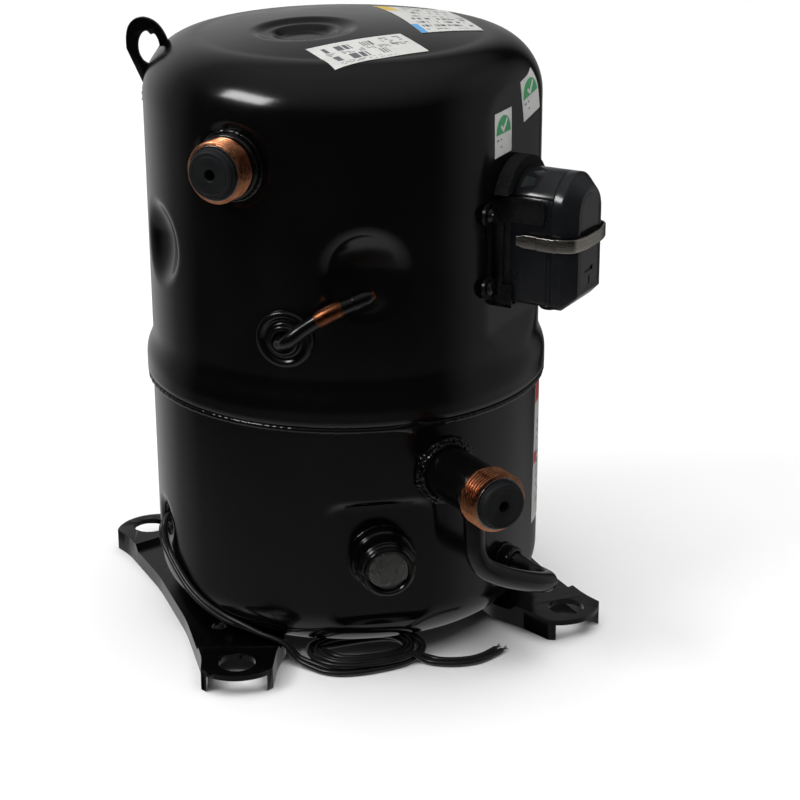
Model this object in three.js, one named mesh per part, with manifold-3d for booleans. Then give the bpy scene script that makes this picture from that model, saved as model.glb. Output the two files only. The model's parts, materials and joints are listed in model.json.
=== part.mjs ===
// A hermetic scroll compressor: a welded two-piece steel shell on two foot rails, with its
// connections, terminal box and crankcase heater outside, and its motor and scroll set inside.
// Millimetres, +Z up. Sub-parts are built around the shell's axis with the floor at z = 0, and the
// finished group is moved so that its origin is the bottom centre of everything except the leads.
// Angles are degrees round the shell's axis, from the front (-Y) towards the right (+X).
import * as THREE from "three";
import { mergeVertices } from "three/addons/utils/BufferGeometryUtils.js";
import { ConvexGeometry } from "three/addons/geometries/ConvexGeometry.js";
import Module from "manifold-3d";

const wasm = await Module();
wasm.setup();

// ---------------------------------------------------------------- driving dimensions
const WALL = 3; // shell wall
const GAP = 0.3; // between pieces that touch
const ROUND = 40; // facets round the shell

const UPPER = {
  r: 107,
  apex: 330,
  shoulderZ: 293,
  shoulderR: 31,
  crown: 6,
  flareTop: 161,
  flareBottom: 152,
  skirtR: 110.8,
  bottom: 140,
};
const LOWER = { r: 107.9, bottom: 9, cornerR: 24, rim: 150 };
const DIMPLE = { angles: [-157, -85, -13, 131], z: 221, ballR: 33, depth: 8 };
const DISH = { x: -24, y: -9, r: 28, depth: 5.5 };
const BOX_PANEL = { angle: 41, plane: 102.6, bottom: 178, runOut: 160 };
const GLASS_PANEL = { angle: -9.5, plane: 103.9, bottom: 27, top: 95, halfWidth: 29 };

const SUCTION = { angle: -50.8, z: 273.7, aim: -46, collar: 3.5, ring: 15.5, face: 20, seatR: 20 };
const DISCHARGE = { angle: 10, z: 110, tube: 38, ring: 52.5, face: 57 };
const THREAD = { r: 15.875, root: 14.9, bore: 12.2, pitch: 3.6 };
const PROCESS = { angle: -35.4, z: 186.5, bossR: 15, tubeR: 3.8 };
const GLASS = { angle: -9, z: 64, reach: 21 };
const OIL = { angle: 33, z: 46, tubeR: 5.6 };
const HEATER = { angle: -90, z: 58, wellR: 9.5, tip: 48, mouth: 104.5 };
const LUG = { angle: -115, thickness: 4, eyeX: 104, eyeZ: 314 }; // eyeX: the eye's radius

const BOX = { z: 225, halfWidth: 20, bottom: 195, top: 263, gasket: 8, seam: 31, front: 44, wall: 2 };
const SCREW = { x: 31.5, high: 244, low: 205, headR: 3.6, shankR: 1.9 };
const CLIP = { z: 230, width: 7, sheet: 1, hookOut: 13 };

const FOOT = {
  hole: 95.25,
  holeR: 9.8,
  sheet: 3,
  web: 8.7,
  pad: 12,
  splay: 18,
  padHalf: 19,
  shoulder: 6.4,
  nose: 15.5,
  fold: -21.7,
};

const SHAFT = { r: 12.5, lowerR: 9, bottom: 30, step: 64, neck: 228, top: 232 };
const CRANK = { throw: 4.8, pinR: 9, top: 246 };
const STATOR = { r: 103.4, flat: 98, bore: 50.7, bottom: 92, top: 150, slots: 12 };
const ROTOR = { r: 50, bottom: 91, top: 151, cage: 5 };
const BRACKET = { hubR: 26, bottom: 44, top: 63, armReach: 104.4, angles: [-45, 75, 195] };
const HOUSING = { r: 95.7, hubBottom: 176, hubR: 27, under: 200, floor: 242, rim: 258, notch: 84 };
const OLDHAM = { z: 242.4, height: 6, inner: 44, outer: 58, keyIn: 46, keyOut: 56, keyHalf: 4 };
const SCROLL = {
  base: 3, // radius of the involutes' base circle
  thick: 4,
  turns: 2.6,
  plateR: 62,
  plateBottom: 249,
  plateTop: 257,
  wrapTop: 283,
  ringIn: 68,
  ringOut: 88,
  coverTop: 295,
};
const BOLT = { ring: 79, headR: 6.5, shankR: 3.7, length: 44 };
const LEAD = { r: 1.5, sides: 8, steps: 28 };
const HANK = { x: -21.5, y: -88, halfLength: 35.5, halfWidth: 24, bottom: 0.2, top: 8 };

// ---------------------------------------------------------------- finishes
const finish = (color, roughness, metalness) =>
  new THREE.MeshStandardMaterial({ color, roughness, metalness });
const BLACK_PAINT = finish(0x111112, 0.18, 0.2);
const COPPER = finish(0xb8744a, 0.35, 0.9);
const RUBBER = finish(0x15181c, 0.6, 0);
const PLASTIC = finish(0x16181d, 0.25, 0);
const FOAM = finish(0x4a4c4e, 0.95, 0);
const SPRING_STEEL = finish(0x9c948a, 0.3, 0.9);
const ZINC = finish(0x2a2a2c, 0.35, 0.8);
const GLASS_CLEAR = finish(0x8a8c86, 0.08, 0);
const CAST = finish(0x6b6d70, 0.6, 0.6);
const GROUND = finish(0xa9abad, 0.3, 0.9);
const LAMINATION = finish(0x77797c, 0.5, 0.7);
const WINDING = finish(0xa55a2c, 0.45, 0.4);
const ALLOY = finish(0xc6c8ca, 0.4, 0.8);
const BRONZE = finish(0xb08a50, 0.4, 0.8);

// ---------------------------------------------------------------- tools for solids
const rad = THREE.MathUtils.degToRad;

function isThin(a, b, c) {
  return a === b || b === c || a === c;
}

function signedVolume(p, t) {
  let sum = 0;
  const v = (i) => new THREE.Vector3(p[3 * i], p[3 * i + 1], p[3 * i + 2]);
  for (let i = 0; i < t.length; i += 3) {
    sum += v(t[i]).dot(v(t[i + 1]).cross(v(t[i + 2])));
  }
  return sum;
}

// A closed geometry as a manifold solid, with its faces pointing out.
function solid(geometry, matrix = new THREE.Matrix4()) {
  const loose = geometry.index ? geometry.toNonIndexed() : geometry.clone();
  loose.deleteAttribute("normal");
  loose.deleteAttribute("uv");
  loose.applyMatrix4(matrix);
  const merged = mergeVertices(loose, 1e-4);
  const positions = merged.attributes.position.array;
  const all = merged.index.array;
  const kept = [];
  for (let i = 0; i < all.length; i += 3) {
    if (!isThin(all[i], all[i + 1], all[i + 2])) kept.push(all[i], all[i + 1], all[i + 2]);
  }
  if (signedVolume(positions, kept) < 0) kept.reverse();
  const data = { numProp: 3, vertProperties: positions, triVerts: new Uint32Array(kept) };
  return new wasm.Manifold(new wasm.Mesh(data));
}

function geometryOf(body) {
  const { vertProperties, triVerts } = body.getMesh();
  const geometry = new THREE.BufferGeometry();
  geometry.setAttribute("position", new THREE.BufferAttribute(new Float32Array(vertProperties), 3));
  geometry.setIndex(new THREE.BufferAttribute(new Uint32Array(triVerts), 1));
  geometry.computeVertexNormals();
  return geometry;
}

const join = (bodies) => bodies.reduce((whole, next) => whole.add(next));
const cut = (body, tools) => tools.reduce((rest, tool) => rest.subtract(tool), body);

// A profile of [radius, height] points turned about Z; it ends on the axis or closes on itself.
function turned(profile, matrix, segments = 20) {
  const points = profile.map(([r, z]) => new THREE.Vector2(r, z));
  return solid(new THREE.LatheGeometry(points, segments).rotateX(Math.PI / 2), matrix);
}
const cylinder = (r, z0, z1, matrix, segments = 16) =>
  turned([[0, z0], [r, z0], [r, z1], [0, z1]], matrix, segments);
const ring = (r0, r1, z0, z1, matrix, segments = 20) =>
  turned([[r0, z0], [r1, z0], [r1, z1], [r0, z1], [r0, z0]], matrix, segments);

function outline(points) {
  return new THREE.Shape(points.map(([x, y]) => new THREE.Vector2(x, y)));
}
function slab(shape, z0, z1, matrix) {
  const settings = { depth: z1 - z0, bevelEnabled: false, curveSegments: 8 };
  return solid(new THREE.ExtrudeGeometry(shape, settings).translate(0, 0, z0), matrix);
}
const block = ([x0, x1], [y0, y1], [z0, z1], matrix) =>
  slab(outline([[x0, y0], [x1, y0], [x1, y1], [x0, y1]]), z0, z1, matrix);

// A round tube along a smooth curve through the points.
function tube(points, r, steps, sides = 12) {
  const route = new THREE.CatmullRomCurve3(points.map((p) => new THREE.Vector3(...p)), false, "centripetal");
  const section = [];
  for (let i = 0; i < sides; i += 1) {
    const turn = (2 * Math.PI * i) / sides;
    section.push([r * Math.cos(turn), r * Math.sin(turn)]);
  }
  const settings = { extrudePath: route, steps, bevelEnabled: false };
  return solid(new THREE.ExtrudeGeometry(outline(section), settings));
}

// ---------------------------------------------------------------- places round the shell
const outward = (angle) => new THREE.Vector3(Math.sin(rad(angle)), -Math.cos(rad(angle)), 0);
const around = (angle, r, z) => outward(angle).multiplyScalar(r).setZ(z);
const spot = (angle, r, z) => around(angle, r, z).toArray();

// Local X to the right as seen from outside, local Y up, local Z outward along the angle.
function facing(position, angle) {
  const right = new THREE.Vector3(Math.cos(rad(angle)), Math.sin(rad(angle)), 0);
  const up = new THREE.Vector3(0, 0, 1);
  return new THREE.Matrix4().makeBasis(right, up, outward(angle)).setPosition(position);
}
// Local X outward along the angle, local Y up, for shapes drawn in a plane through the axis.
function sideOn(angle) {
  const up = new THREE.Vector3(0, 0, 1);
  return new THREE.Matrix4().makeBasis(outward(angle), up, outward(angle + 90).negate());
}
const onShell = (angle, r, z) => facing(around(angle, r, z), angle);
const lift = (x, y, z = 0) => new THREE.Matrix4().makeTranslation(x, y, z);
const spin = (angle) => new THREE.Matrix4().makeRotationZ(rad(angle));

const SUCTION_FRAME = facing(around(SUCTION.angle, UPPER.r, SUCTION.z), SUCTION.aim);
const DISCHARGE_FRAME = onShell(DISCHARGE.angle, LOWER.r, DISCHARGE.z);
const BOX_FRAME = onShell(BOX_PANEL.angle, BOX_PANEL.plane, 0);
const GLASS_FRAME = onShell(GLASS.angle, GLASS_PANEL.plane, GLASS.z);
const HEATER_FRAME = onShell(HEATER.angle, 0, HEATER.z);
const BOSS_FRAME = onShell(PROCESS.angle, UPPER.r, PROCESS.z);

// ---------------------------------------------------------------- the assembly
const compressor = new THREE.Group();
function add(name, body, material) {
  const mesh = new THREE.Mesh(geometryOf(body), material);
  mesh.name = name;
  compressor.add(mesh);
}

// ---------------------------------------------------------------- shell
function arc(centreR, centreZ, radius, from, to, count) {
  const points = [];
  for (let i = 0; i <= count; i += 1) {
    const a = rad(from + ((to - from) * i) / count);
    points.push([centreR + radius * Math.cos(a), centreZ + radius * Math.sin(a)]);
  }
  return points;
}

// The filled shape inside the upper shell's surface, moved inwards by an inset.
function upperFill(inset, bottom, skirt) {
  const centreR = UPPER.r - UPPER.shoulderR;
  const crownR = (centreR ** 2 + UPPER.crown ** 2) / (2 * UPPER.crown);
  const crown = [0, 0.6].map((share) => {
    const r = share * centreR;
    return [r, UPPER.apex - inset - (crownR - Math.sqrt(crownR ** 2 - r ** 2))];
  });
  const shoulder = arc(centreR, UPPER.shoulderZ, UPPER.shoulderR - inset, 90, 0, 4);
  const side = [
    [UPPER.r - inset, UPPER.flareTop],
    [skirt, UPPER.flareBottom],
    [skirt, bottom],
    [0, bottom],
  ];
  return turned([...crown, ...shoulder, ...side], undefined, ROUND);
}

function dimples(inset) {
  const tools = [];
  for (const angle of DIMPLE.angles) {
    const centre = around(angle, UPPER.r - DIMPLE.depth + DIMPLE.ballR, DIMPLE.z);
    const ball = new THREE.SphereGeometry(DIMPLE.ballR + inset, 14, 10);
    tools.push(solid(ball, new THREE.Matrix4().setPosition(centre)));
  }
  return tools;
}

function topDish(inset) {
  const ballR = (DISH.r ** 2 + DISH.depth ** 2) / (2 * DISH.depth);
  const centreZ = UPPER.apex - DISH.depth + ballR;
  const rise = arc(0, centreZ, ballR + inset, -90, -55, 3);
  const cap = [...rise, [rise[3][0], centreZ], [0, centreZ]];
  return turned(cap, lift(DISH.x, DISH.y));
}

// The flat that the terminal box stands on, which runs out into the skirt.
function boxFlat(inset) {
  const plane = BOX_PANEL.plane - inset;
  const side = outline([
    [plane, BOX_PANEL.bottom - inset],
    [plane, UPPER.apex + 10],
    [plane + 30, UPPER.apex + 10],
    [plane + 30, BOX_PANEL.runOut - inset],
    [plane + 5, BOX_PANEL.runOut - inset],
  ]);
  return slab(side, -60, 60, sideOn(BOX_PANEL.angle));
}

function makeUpperShell() {
  const outsideTools = [
    ...dimples(0),
    topDish(0),
    boxFlat(0),
    cylinder(SUCTION.seatR, -2, 40, SUCTION_FRAME),
  ];
  const insideTools = [
    ...dimples(WALL),
    topDish(WALL),
    boxFlat(WALL),
    cylinder(SUCTION.seatR + WALL, -2 - WALL, 40, SUCTION_FRAME),
  ];
  const outside = cut(upperFill(0, UPPER.bottom, UPPER.skirtR), outsideTools);
  const inside = cut(upperFill(WALL, UPPER.bottom - 5, LOWER.r + 0.4), insideTools);
  const openings = [
    cylinder(THREAD.root + GAP, -40, 20, SUCTION_FRAME),
    cylinder(PROCESS.tubeR + 1, -10, 10, BOSS_FRAME),
    cylinder(15, -10, 10, onShell(BOX_PANEL.angle, BOX_PANEL.plane, BOX.z), 24),
  ];
  add("upper_shell", cut(outside.subtract(inside), openings), BLACK_PAINT);
}

function lowerFill(inset, top) {
  const corner = arc(
    LOWER.r - LOWER.cornerR,
    LOWER.bottom + LOWER.cornerR,
    LOWER.cornerR - inset,
    -90,
    0,
    4,
  );
  const profile = [[0, LOWER.bottom + inset], ...corner, [LOWER.r - inset, top], [0, top]];
  return turned(profile, undefined, ROUND);
}

// The sunk rectangular flat round the sight glass.
function glassFlat(inset) {
  const half = GLASS_PANEL.halfWidth + inset;
  return block(
    [-half, half],
    [GLASS_PANEL.bottom - inset, GLASS_PANEL.top + inset],
    [-inset, 20],
    onShell(GLASS_PANEL.angle, GLASS_PANEL.plane, 0),
  );
}

function heaterDish(inset) {
  const ball = new THREE.SphereGeometry(23 + inset, 14, 10);
  return solid(ball, new THREE.Matrix4().setPosition(around(HEATER.angle, 126.9, HEATER.z)));
}

function makeLowerShell() {
  const outside = cut(lowerFill(0, LOWER.rim), [glassFlat(0), heaterDish(0)]);
  const inside = cut(lowerFill(WALL, LOWER.rim + 5), [glassFlat(WALL), heaterDish(WALL)]);
  const openings = [
    cylinder(14.3, -20, 20, DISCHARGE_FRAME),
    cylinder(12, -10, 10, GLASS_FRAME),
    cylinder(HEATER.wellR + GAP, 90, 120, HEATER_FRAME),
    cylinder(OIL.tubeR + 0.8, -10, 10, onShell(OIL.angle, LOWER.r, OIL.z)),
  ];
  add("lower_shell", cut(outside.subtract(inside), openings), BLACK_PAINT);
}

function makeSeamWeld() {
  const r = LOWER.r + GAP;
  const top = UPPER.bottom - GAP;
  const bead = [[r, top], [r + 2.6, top], [r + 2.3, top - 1.8], [r, top - 4], [r, top]];
  add("seam_weld", turned(bead, undefined, ROUND), BLACK_PAINT);
}

// ---------------------------------------------------------------- feet
// One arm of a rail in plan, for the front right foot.
const ARM = new THREE.Vector2(Math.sin(rad(FOOT.splay)), -Math.cos(rad(FOOT.splay)));
const ACROSS = new THREE.Vector2(-ARM.y, ARM.x);
function onArm(along, across) {
  const p = new THREE.Vector2(FOOT.hole, -FOOT.hole);
  p.addScaledVector(ARM, along).addScaledVector(ACROSS, across);
  return [p.x, p.y];
}

function noseArc(count) {
  const rise = FOOT.nose - FOOT.shoulder;
  const radius = (FOOT.padHalf ** 2 + rise ** 2) / (2 * rise);
  const half = Math.asin(FOOT.padHalf / radius);
  const points = [];
  for (let i = 1; i < count; i += 1) {
    const a = half - (2 * half * i) / count;
    points.push(onArm(FOOT.nose - radius + radius * Math.cos(a), radius * Math.sin(a)));
  }
  return points;
}

function railOutline() {
  const outer = [[106, -30], [110, -70], onArm(-6, FOOT.padHalf), onArm(FOOT.shoulder, FOOT.padHalf)];
  const inner = [onArm(FOOT.shoulder, -FOOT.padHalf), [70, -86], [61, -73], [59.5, -60]];
  const front = [...outer, ...noseArc(10), ...inner];
  const back = front.map(([x, y]) => [x, -y]).reverse();
  return [...front, ...back];
}

// A clockwise outline moved inwards, by moving each corner along its edges' normals.
function shrunk(points, inset) {
  const count = points.length;
  return points.map((p, i) => {
    const here = new THREE.Vector2(...p);
    const before = new THREE.Vector2(...points[(i + count - 1) % count]);
    const after = new THREE.Vector2(...points[(i + 1) % count]);
    const inEdge = here.clone().sub(before).normalize();
    const outEdge = after.sub(here).normalize();
    const normal = new THREE.Vector2(inEdge.y + outEdge.y, -inEdge.x - outEdge.x).normalize();
    const shrink = inset / Math.max(normal.dot(new THREE.Vector2(inEdge.y, -inEdge.x)), 0.5);
    return [here.x + normal.x * shrink, here.y + normal.y * shrink];
  });
}

// The space over the web between the two folds, whose ends slope up to the pads.
function overWeb(level) {
  const corners = [];
  const slope = 1.1;
  for (const z of [level, level + 20]) {
    const reach = FOOT.fold + (z - level) * slope;
    for (const across of [-60, 60]) {
      const [x, y] = onArm(reach, across);
      corners.push(new THREE.Vector3(x, y, z), new THREE.Vector3(x, -y, z));
    }
  }
  return solid(new ConvexGeometry(corners));
}

function makeRail(name, mirror) {
  const plan = railOutline();
  const outside = slab(outline(plan), 0, FOOT.pad).subtract(overWeb(FOOT.web));
  const openNose = [-1, 1].map((side) => {
    const half = FOOT.padHalf - FOOT.sheet;
    const mouth = [onArm(0, -half), onArm(0, half), onArm(25, half), onArm(25, -half)];
    return slab(outline(mouth.map(([x, y]) => [x, side * -y])), -1, FOOT.pad - FOOT.sheet);
  });
  const under = slab(outline(shrunk(plan, FOOT.sheet)), -1, FOOT.pad - FOOT.sheet);
  const hollow = join([under, ...openNose]).subtract(overWeb(FOOT.web - FOOT.sheet));
  const holes = [-1, 1].flatMap((side) => [
    cylinder(FOOT.holeR, -1, 20, lift(FOOT.hole, side * FOOT.hole)),
    cylinder(4.25, -1, 20, lift(91, side * 44), 14),
  ]);
  const rail = cut(outside.subtract(hollow), holes);
  add(name, mirror ? rail.mirror([1, 0, 0]) : rail, BLACK_PAINT);
}

// ---------------------------------------------------------------- lifting lug
function makeLug() {
  const inner = LUG.eyeX - 13;
  const edge = new THREE.Shape();
  const top = LUG.eyeZ + 16;
  const foot = LUG.eyeZ - 25;
  edge.moveTo(inner, foot);
  edge.lineTo(LUG.eyeX + 1, foot - 2);
  edge.lineTo(LUG.eyeX + 12.5, LUG.eyeZ - 1);
  edge.quadraticCurveTo(LUG.eyeX + 14, top, LUG.eyeX + 3, top);
  edge.quadraticCurveTo(LUG.eyeX - 6, top - 1, LUG.eyeX - 10, LUG.eyeZ + 3);
  edge.lineTo(inner - 6, LUG.eyeZ - 8);
  edge.lineTo(inner, foot);
  const eye = new THREE.Path();
  eye.absellipse(LUG.eyeX + 0.5, LUG.eyeZ, 6, 9, 0, 2 * Math.PI, true, 0);
  edge.holes.push(eye);
  const stand = sideOn(LUG.angle);
  const plate = slab(edge, -LUG.thickness / 2, LUG.thickness / 2, stand);
  add("lifting_lug", plate.subtract(upperFill(-GAP, 200, UPPER.skirtR)), BLACK_PAINT);
}

// ---------------------------------------------------------------- suction and discharge
// A ring with thread crests on its outside, from z0 to z1, open through its middle.
function threadedRing(z0, z1, matrix) {
  const profile = [[THREAD.bore, z0], [THREAD.root, z0]];
  for (let z = z0 + 1.2; z + THREAD.pitch < z1 - 0.6; z += THREAD.pitch) {
    profile.push([THREAD.root, z], [THREAD.r, z + THREAD.pitch / 2]);
  }
  profile.push([THREAD.root, z1], [THREAD.bore, z1], [THREAD.bore, z0]);
  return turned(profile, matrix);
}

// A rubber cap plug: a stem in the bore and a head proud of the ring, with a blind hole.
function capPlug(ringEnd, face, matrix) {
  const r = THREAD.bore - GAP;
  const holeR = 2.8;
  const profile = [
    [0, ringEnd - 8],
    [r, ringEnd - 8],
    [r, face - 0.6],
    [r - 0.6, face],
    [holeR, face],
    [holeR, face - 8],
    [0, face - 8],
  ];
  return turned(profile, matrix);
}

function makeSuction() {
  const spigot = [
    [THREAD.bore, -1.6],
    [THREAD.r + 1.3, -1.6],
    [THREAD.r + 1.3, SUCTION.collar - 1.5],
    [THREAD.r + 0.4, SUCTION.collar - 0.3],
    [THREAD.bore, SUCTION.collar - 0.3],
    [THREAD.bore, -1.6],
  ];
  add("suction_spigot", turned(spigot, SUCTION_FRAME), BLACK_PAINT);
  add("suction_connection", threadedRing(SUCTION.collar, SUCTION.ring, SUCTION_FRAME), COPPER);
  add("suction_plug", capPlug(SUCTION.ring, SUCTION.face, SUCTION_FRAME), RUBBER);
  const inlet = [[8, -38], [9, -38], [9, -8], [11.8, -2.2], [10.8, -2.2], [8, -7.5], [8, -38]];
  add("suction_inlet_tube", turned(inlet, SUCTION_FRAME, 24), COPPER);
}

function makeDischarge() {
  const inner = THREAD.bore;
  const stub = [
    [inner, -3.2],
    [14, -3.2],
    [14, DISCHARGE.tube],
    [inner, DISCHARGE.tube],
    [inner, -3.2],
  ];
  const bead = turned([[13, 0.8], [18.5, 0.8], [17.5, 3.5], [13, 5.5], [13, 0.8]], DISCHARGE_FRAME);
  const body = join([turned(stub, DISCHARGE_FRAME), bead]);
  const shell = lowerFill(-GAP, LOWER.rim).subtract(cylinder(14.3, -30, 30, DISCHARGE_FRAME));
  add("discharge_stub", body.subtract(shell), BLACK_PAINT);
  const start = DISCHARGE.tube + GAP;
  add("discharge_connection", threadedRing(start, DISCHARGE.ring, DISCHARGE_FRAME), COPPER);
  add("discharge_plug", capPlug(DISCHARGE.ring, DISCHARGE.face, DISCHARGE_FRAME), RUBBER);
}

// ---------------------------------------------------------------- process tube
function makeProcessTube() {
  const bore = PROCESS.tubeR + 1;
  const boss = [[bore, -4], [13, -4], [PROCESS.bossR, 0], [13, 4], [7, 4.5], [bore, 2.5], [bore, -4]];
  const spud = turned(boss, BOSS_FRAME).subtract(upperFill(-GAP, 150, UPPER.skirtR));
  add("process_boss", spud, BLACK_PAINT);
  const r = PROCESS.tubeR;
  const start = around(PROCESS.angle, UPPER.r - 4, PROCESS.z);
  const elbow = around(PROCESS.angle, UPPER.r + 8, PROCESS.z);
  const bend = around(PROCESS.angle + 2.5, UPPER.r + 12.5, PROCESS.z + 3);
  const rise = around(-29.3, UPPER.r + 12, 195.5);
  const knee = around(-22.3, UPPER.r + 11.5, 205);
  const end = around(-14.8, UPPER.r + 9, 211);
  const route = [start, elbow, bend, rise, knee, end];
  add("process_tube", tube(route.map((p) => p.toArray()), r, 14, 8), BLACK_PAINT);
  const axis = end.clone().sub(knee).normalize();
  const turn = new THREE.Quaternion().setFromUnitVectors(new THREE.Vector3(0, 0, 1), axis);
  const tipFrame = new THREE.Matrix4().makeRotationFromQuaternion(turn);
  tipFrame.setPosition(end.clone().addScaledVector(axis, GAP));
  const tip = [[0, 0], [r, 0], [r, 3], [r * 0.6, 7], [0, 8]];
  add("process_tube_tip", turned(tip, tipFrame, 8), COPPER);
}

// ---------------------------------------------------------------- sight glass
function makeSightGlass() {
  const reach = GLASS.reach;
  const body = [
    [9, -6],
    [11.7, -6],
    [11.7, GAP],
    [17, GAP],
    [17, 6],
    [15.2, 8],
    [15.2, reach - 4],
    [13.2, reach],
    [10.9, reach],
    [10.9, reach - 4.5],
    [9, reach - 4.5],
    [9, -6],
  ];
  add("sight_glass_body", turned(body, GLASS_FRAME), BLACK_PAINT);
  const bulge = [
    [0, reach - 4.2],
    [10.6, reach - 4.2],
    [10.6, reach - 1.6],
    [6, reach - 0.9],
    [0, reach - 0.7],
  ];
  add("sight_glass_lens", turned(bulge, GLASS_FRAME), GLASS_CLEAR);
}

// ---------------------------------------------------------------- crankcase heater and its leads
function makeHeater() {
  const { wellR, tip, mouth } = HEATER;
  const well = [[0, tip], [wellR, tip], [wellR, mouth], [8, mouth], [8, tip + 2], [0, tip + 2]];
  add("heater_well", turned(well, HEATER_FRAME), BLACK_PAINT);
  add("heater_cartridge", cylinder(7.6, tip + 2.3, mouth - 1, HEATER_FRAME, 24), ZINC);
}

// Each lead leaves the heater, lies against the shell, crosses the foot rail and reaches the hank.
const LEAD_A = [
  spot(-89, 104.2, 61),
  spot(-88, 107.5, 61),
  spot(-86.5, 110.4, 58),
  spot(-85, 111, 52),
  spot(-83, 110.6, 45.3),
  spot(-77.3, 110.1, 37.6),
  spot(-71, 109.6, 30.4),
  spot(-65, 108.1, 24.7),
  spot(-58, 105.6, 19.9),
  [-81.6, -66.6, 17.4],
  [-75.6, -73.4, 15.2],
  [-69.4, -79.2, 13.6],
  [-65, -82.8, 11.2],
  [-62.6, -85.6, 8.2],
  [-60.8, -88, 5.4],
  [-59.4, -89.6, 3.9],
];
const LEAD_B = [
  spot(-91.4, 104.2, 56),
  spot(-91.2, 107.5, 56),
  spot(-90, 110.4, 53),
  spot(-88, 111, 47),
  spot(-84.6, 110.4, 41.8),
  spot(-78.3, 109.6, 34.3),
  spot(-71.8, 109, 27.1),
  spot(-65.8, 107.2, 21.4),
  spot(-59, 104.8, 16.7),
  [-80.6, -63.2, 14.6],
  [-74.2, -70, 12.8],
  [-67.6, -75.8, 11.4],
  [-62.9, -79.4, 9.4],
  [-60.4, -82.2, 7],
  [-59, -85, 5.2],
  [-58, -86.3, 4.2],
];
const TAIL_A = [
  [5.6, -109.8, 2],
  [10, -113.8, 1.8],
  [16, -117.2, 1.8],
  [23, -119.4, 1.8],
  [31, -119.8, 1.8],
  [38.5, -118, 1.8],
  [44, -115.4, 1.8],
  [49, -113, 1.8],
];
const TAIL_B = [
  [9.6, -107.4, 2],
  [13, -110.8, 1.8],
  [18.5, -113.6, 1.8],
  [24.5, -115.4, 1.8],
  [31, -115.9, 1.8],
  [37.5, -114.4, 1.8],
  [42.5, -112, 1.8],
  [46.5, -109.8, 1.8],
];

function makeLeads() {
  add("heater_lead_a", tube(LEAD_A, LEAD.r, LEAD.steps, LEAD.sides), RUBBER);
  add("heater_lead_b", tube(LEAD_B, LEAD.r, LEAD.steps, LEAD.sides), RUBBER);
  const bundle = new THREE.Shape();
  const straight = HANK.halfLength - HANK.halfWidth;
  bundle.moveTo(-straight, -HANK.halfWidth);
  bundle.absarc(straight, 0, HANK.halfWidth, -Math.PI / 2, Math.PI / 2, false);
  bundle.absarc(-straight, 0, HANK.halfWidth, Math.PI / 2, (3 * Math.PI) / 2, false);
  add("heater_lead_hank", slab(bundle, HANK.bottom, HANK.top, lift(HANK.x, HANK.y)), RUBBER);
  add("heater_tail_a", tube(TAIL_A, LEAD.r, 16, LEAD.sides), RUBBER);
  add("heater_tail_b", tube(TAIL_B, LEAD.r, 14, LEAD.sides), RUBBER);
}

// ---------------------------------------------------------------- terminal box
// The box's outline: flat at the bottom and arched at the top, moved outwards by a margin.
function archShape(margin, bottom = BOX.bottom - margin) {
  const half = BOX.halfWidth + margin;
  const spring = BOX.top - BOX.halfWidth;
  const shape = new THREE.Shape();
  shape.moveTo(-half, bottom);
  shape.lineTo(half, bottom);
  shape.lineTo(half, spring);
  shape.absarc(0, spring, half, 0, Math.PI, false);
  shape.lineTo(-half, bottom);
  return shape;
}

function makeTerminalBox() {
  const frame = BOX_FRAME;
  const { wall, seam, front, gasket } = BOX;
  const crest = block([-40, 40], [SCREW.high + 9, BOX.top + 10], [0, gasket + 1], frame);
  const collar = slab(archShape(5), GAP, gasket, frame).intersect(crest);
  const foam = join([slab(archShape(-0.6), GAP, gasket, frame), collar]);
  add("terminal_gasket", foam.subtract(slab(archShape(-4), -1, gasket + 1, frame)), FOAM);
  const rear = gasket + GAP;
  const tray = slab(archShape(0), rear, seam, frame);
  const trayHollow = slab(archShape(-wall), rear + wall, seam + 1, frame);
  const middle = onShell(BOX_PANEL.angle, BOX_PANEL.plane, BOX.z);
  const floorHole = cylinder(16, rear - 1, rear + wall + 1, middle);
  const cord = new THREE.Matrix4().makeTranslation(0, BOX.bottom, 22).premultiply(frame);
  const down = cord.multiply(new THREE.Matrix4().makeRotationX(Math.PI / 2));
  const cordHole = cylinder(6.3, -10, 10, down, 24);
  add("terminal_box_base", cut(tray, [trayHollow, floorHole, cordHole]), PLASTIC);
  const grommet = [[3, -3], [6, -3], [6, 0.3], [8, 0.3], [8, 3.2], [4.6, 6.4], [3, 6.4], [3, -3]];
  add("cable_grommet", turned(grommet, down, 24), RUBBER);
  const lid = slab(archShape(0.8), seam + GAP, front - 7, frame);
  const nose = taperedArch(front - 7, front, 0.8, -6);
  const lidHollow = slab(archShape(0.8 - wall), seam - 1, front - 7, frame);
  const noseHollow = taperedArch(front - 7.01, front - wall, 0.8 - wall, -6 - wall * 0.6);
  add("terminal_box_cover", cut(join([lid, nose]), [lidHollow, noseHollow]), PLASTIC);
}

// A slice of the box's arch that narrows from one margin to another.
function taperedArch(z0, z1, margin0, margin1) {
  const corners = [];
  for (const [z, margin] of [[z0, margin0], [z1, margin1]]) {
    for (const p of archShape(margin).getPoints(8)) corners.push(new THREE.Vector3(p.x, p.y, z));
  }
  return solid(new ConvexGeometry(corners), BOX_FRAME);
}

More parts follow.
